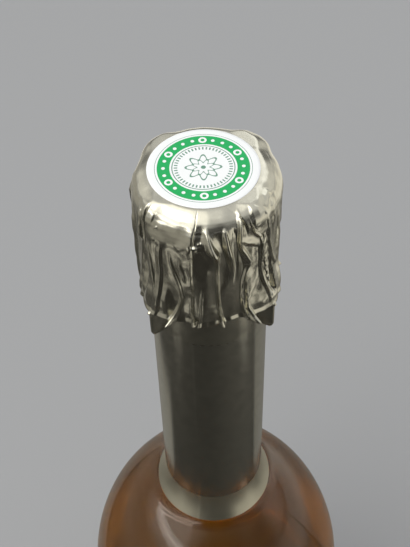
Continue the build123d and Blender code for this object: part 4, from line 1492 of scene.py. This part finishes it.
def level_square(reach, height):
    return [(-reach, -reach, height), (reach, -reach, height), (reach, reach, height),
            (-reach, reach, height)]


class BOTTLE_OT_stage(bpy.types.Operator):
    """Makes the floor, the soft light and the camera"""

    bl_idname = "bottle.stage"
    bl_label = "Stage"

    def execute(self, context):
        settings = context.scene.bottle_stage
        self.make_floor(settings)
        self.make_world(settings)
        top = Vector((0, 0, hood_top * mm))
        for name, offset, size, power, colour in (
            ("key", (-0.75, -0.45, 0.8), (0.8, 0.7), 3.4, (1.0, 0.985, 0.96)),
            ("back", (0.5, 0.9, 0.7), (0.9, 0.6), 1.3, (0.97, 0.985, 1.0)),
        ):
            area_light(name, top + Vector(offset), top, size, power, colour)
        # painted reflections: a glowing sheet on the floor and a dark glowing card in front, which
        # only reflections see
        self.make_painted_reflections()
        self.make_painted_shade_card()
        self.make_camera(context, settings)
        return {"FINISHED"}

    def make_floor(self, settings):
        finish = Finish("floor_matt")
        finish.surface(base_color=settings.floor_colour, roughness=0.9, specular_ior_level=0.0)
        stage_sheet("floor", level_square(3.0, 0), finish)

    def make_painted_reflections(self):
        """Painted reflections: a low glowing sheet that only reflections see, dark in front as
        painted shade, and paler behind, far to the sides and in two patches as painted light.

        Its places are in mm from the bottle's axis, and its bearings in radians from the front.
        """
        finish = Finish("painted_reflection_sheet")
        place = finish.place()
        x, y, _ = finish.axes(place)
        away, bearing, _ = finish.polar(place)
        ahead = (y * -1.0) / away
        left = (x * -1.0).fade(120.0, 320.0)
        # painted shade: dark in front, a little paler to each side
        shade = (x + 50.0).math("ABSOLUTE").fade(0.0, 300.0) * 0.035 + 0.042
        # painted light: paler far to the sides
        far_sides = away.fade(285.0, 560.0) * (1.0 - ahead.fade(0.86, 0.97))
        shade = shade + far_sides * (0.7 - left * 0.42)
        # painted light behind the bottle
        left_edge = x + y * 0.138 + 182.0
        behind = y.fade(22.0, 32.0) * left_edge.fade(-6.0, 6.0)
        shade = shade + behind * (x.fade(150.0, -150.0) * 0.07 + 0.12)
        # painted shade: dark lines along the edges of the pale part behind
        line = left_edge.near(0.0, 9.0) * y.above(22.0)
        line = line.either(y.near(27.0, 7.0) * x.above(0.0))
        shade = shade * (1.0 - line * 0.75)
        # painted highlights: two bright patches on a ring round the bottle
        ring = away.fade(244.0, 256.0) * (1.0 - away.fade(300.0, 330.0))
        for middle, reach, strength in ((1.15, 0.14, 1.1), (-1.1, 0.12, 0.6)):
            shade = shade + bearing.near(middle, reach) * ring * strength
        # the sheet glows though it is no lamp, and so paints these reflections
        finish.emission(finish.mix(shade, (0.0, 0.0, 0.0), (1.0, 0.97, 0.88)))
        stage_sheet("painted_reflection_sheet", level_square(1.6, 0.002), finish, reflected_only=True)

    def make_painted_shade_card(self):
        """Painted shade: a dark glowing card in front, as high as the cork, that only reflections
        see.
        """
        side, front, foot, top = 0.15, -0.25, 0.003, 0.29
        corners = [(-side, front, foot), (side, front, foot),
                   (side, front, top), (-side, front, top)]
        finish = Finish("painted_shade_card")
        # painted shade: a dim glow, seen only in reflections
        finish.emission((0.03, 0.029, 0.026))
        stage_sheet("painted_shade_card", corners, finish, reflected_only=True)

    def make_world(self, settings):
        """A soft room: dim low down and in front, and bright above.

        A window stands to the front left, and a low bright strip at the left.
        """
        studio = Finish("studio", world=True)
        direction = studio.add("ShaderNodeTexCoord", output="Generated")
        x, y, rise = studio.axes(direction)
        ahead, left = y * -1.0, x * -1.0
        stops = [(0.0, (0.16, 0.16, 0.16)), (0.2, (0.21, 0.21, 0.21)), (0.5, (0.56, 0.565, 0.57)),
                 (1.0, (0.73, 0.735, 0.75))]
        sky = studio.add("ShaderNodeValToRGB", {0: rise}, stops=stops)
        window = studio.add("ShaderNodeVectorMath", {0: direction, 1: (-0.65, -0.36, 0.67)},
                            operation="DOT_PRODUCT", output="Value")
        sides = x.math("ABSOLUTE").fade(0.5, 0.72) * (1.0 - rise.fade(0.35, 0.6))
        sky = studio.mix(sides * y.fade(-0.5, -0.1), sky, (0.72, 0.715, 0.69))
        sky = studio.mix(window.fade(0.55, 0.92), sky, (1.6, 1.58, 1.52))
        front = ahead.fade(0.84, 0.97) * (1.0 - rise.fade(0.12, 0.45))
        sky = studio.mix(front * 0.85, sky, (0.03, 0.03, 0.03))
        low_strip = 1.0 - (rise - 0.11).math("ABSOLUTE").fade(0.02, 0.05)
        left_strip = low_strip * ahead.fade(-0.3, 0.0) * left.fade(0.3, 0.5)
        sky = studio.mix(left_strip, sky, (4.2, 4.1, 3.9))
        lit = studio.add("ShaderNodeBackground", {"Color": sky})
        seen = studio.add("ShaderNodeBackground", {"Color": (*settings.floor_colour, 1.0)})
        camera_ray = studio.add("ShaderNodeLightPath", output="Is Camera Ray")
        studio.end(studio.add("ShaderNodeMixShader", {0: camera_ray, 1: lit, 2: seen}))
        bpy.context.scene.world = studio.block

    def make_camera(self, context, settings):
        picture_height = 547
        aim_side, aim_depth = -0.83, 36.1
        data = bpy.data.cameras.new("camera")
        data.sensor_fit = "VERTICAL"
        data.sensor_width = data.sensor_height = 36.0
        data.lens = settings.focal * data.sensor_height / picture_height
        data.clip_start = 0.01
        camera = bpy.data.objects.new("camera", data)
        context.scene.collection.objects.link(camera)
        pitch, roll = settings.pitch, settings.roll
        forward = Vector((0, math.cos(pitch), -math.sin(pitch)))
        level_up = Vector((0, math.sin(pitch), math.cos(pitch)))
        side = Vector((1, 0, 0))
        right = side * math.cos(roll) + level_up * math.sin(roll)
        upward = level_up * math.cos(roll) - side * math.sin(roll)
        aim = Vector((aim_side, 0, top_of("top_seal_disc") - aim_depth)) * mm
        turn = Matrix((right, upward, -forward)).transposed().to_4x4()
        camera.matrix_world = Matrix.Translation(aim - forward * settings.distance) @ turn
        context.scene.camera = camera


class BOTTLE_PT_panel(bpy.types.Panel):
    """Lists the bottle's pieces in the sidebar"""

    bl_idname = "BOTTLE_PT_panel"
    bl_label = "Champagne bottle"
    bl_space_type = "VIEW_3D"
    bl_region_type = "UI"
    bl_category = "Bottle"

    def draw(self, context):
        for operator in operators:
            self.layout.operator(operator.bl_idname)
        for name in settings_groups:
            group = getattr(context.scene, name)
            column = self.layout.column(heading=name)
            for key in group.bl_rna.properties.keys():
                if key not in {"rna_type", "name"}:
                    column.prop(group, key)


operators = (
    BOTTLE_OT_stage,
    BOTTLE_OT_glass,
    BOTTLE_OT_wine,
    BOTTLE_OT_cork,
    BOTTLE_OT_cap,
    BOTTLE_OT_cage,
    BOTTLE_OT_hood,
    BOTTLE_OT_seal,
    BOTTLE_OT_neck_foil,
    BOTTLE_OT_perforations,
    BOTTLE_OT_tear_tab,
    BOTTLE_OT_labels,
)
settings_groups = {
    "bottle_glass": GlassSettings,
    "bottle_hood": HoodSettings,
    "bottle_seal": SealSettings,
    "bottle_neck_foil": NeckFoilSettings,
    "bottle_cap": CapSettings,
    "bottle_labels": LabelSettings,
    "bottle_stage": StageSettings,
}


def register():
    for name, group in settings_groups.items():
        bpy.utils.register_class(group)
        setattr(bpy.types.Scene, name, PointerProperty(type=group))
    for operator in (*operators, BOTTLE_PT_panel):
        bpy.utils.register_class(operator)


def unregister():
    for operator in (BOTTLE_PT_panel, *reversed(operators)):
        bpy.utils.unregister_class(operator)
    for name, group in settings_groups.items():
        delattr(bpy.types.Scene, name)
        bpy.utils.unregister_class(group)


def main():
    register()
    for operator in operators:
        group, action = operator.bl_idname.split(".")
        getattr(getattr(bpy.ops, group), action)()
    bpy.context.scene.view_settings.view_transform = "Standard"


if __name__ == "__main__":
    main()
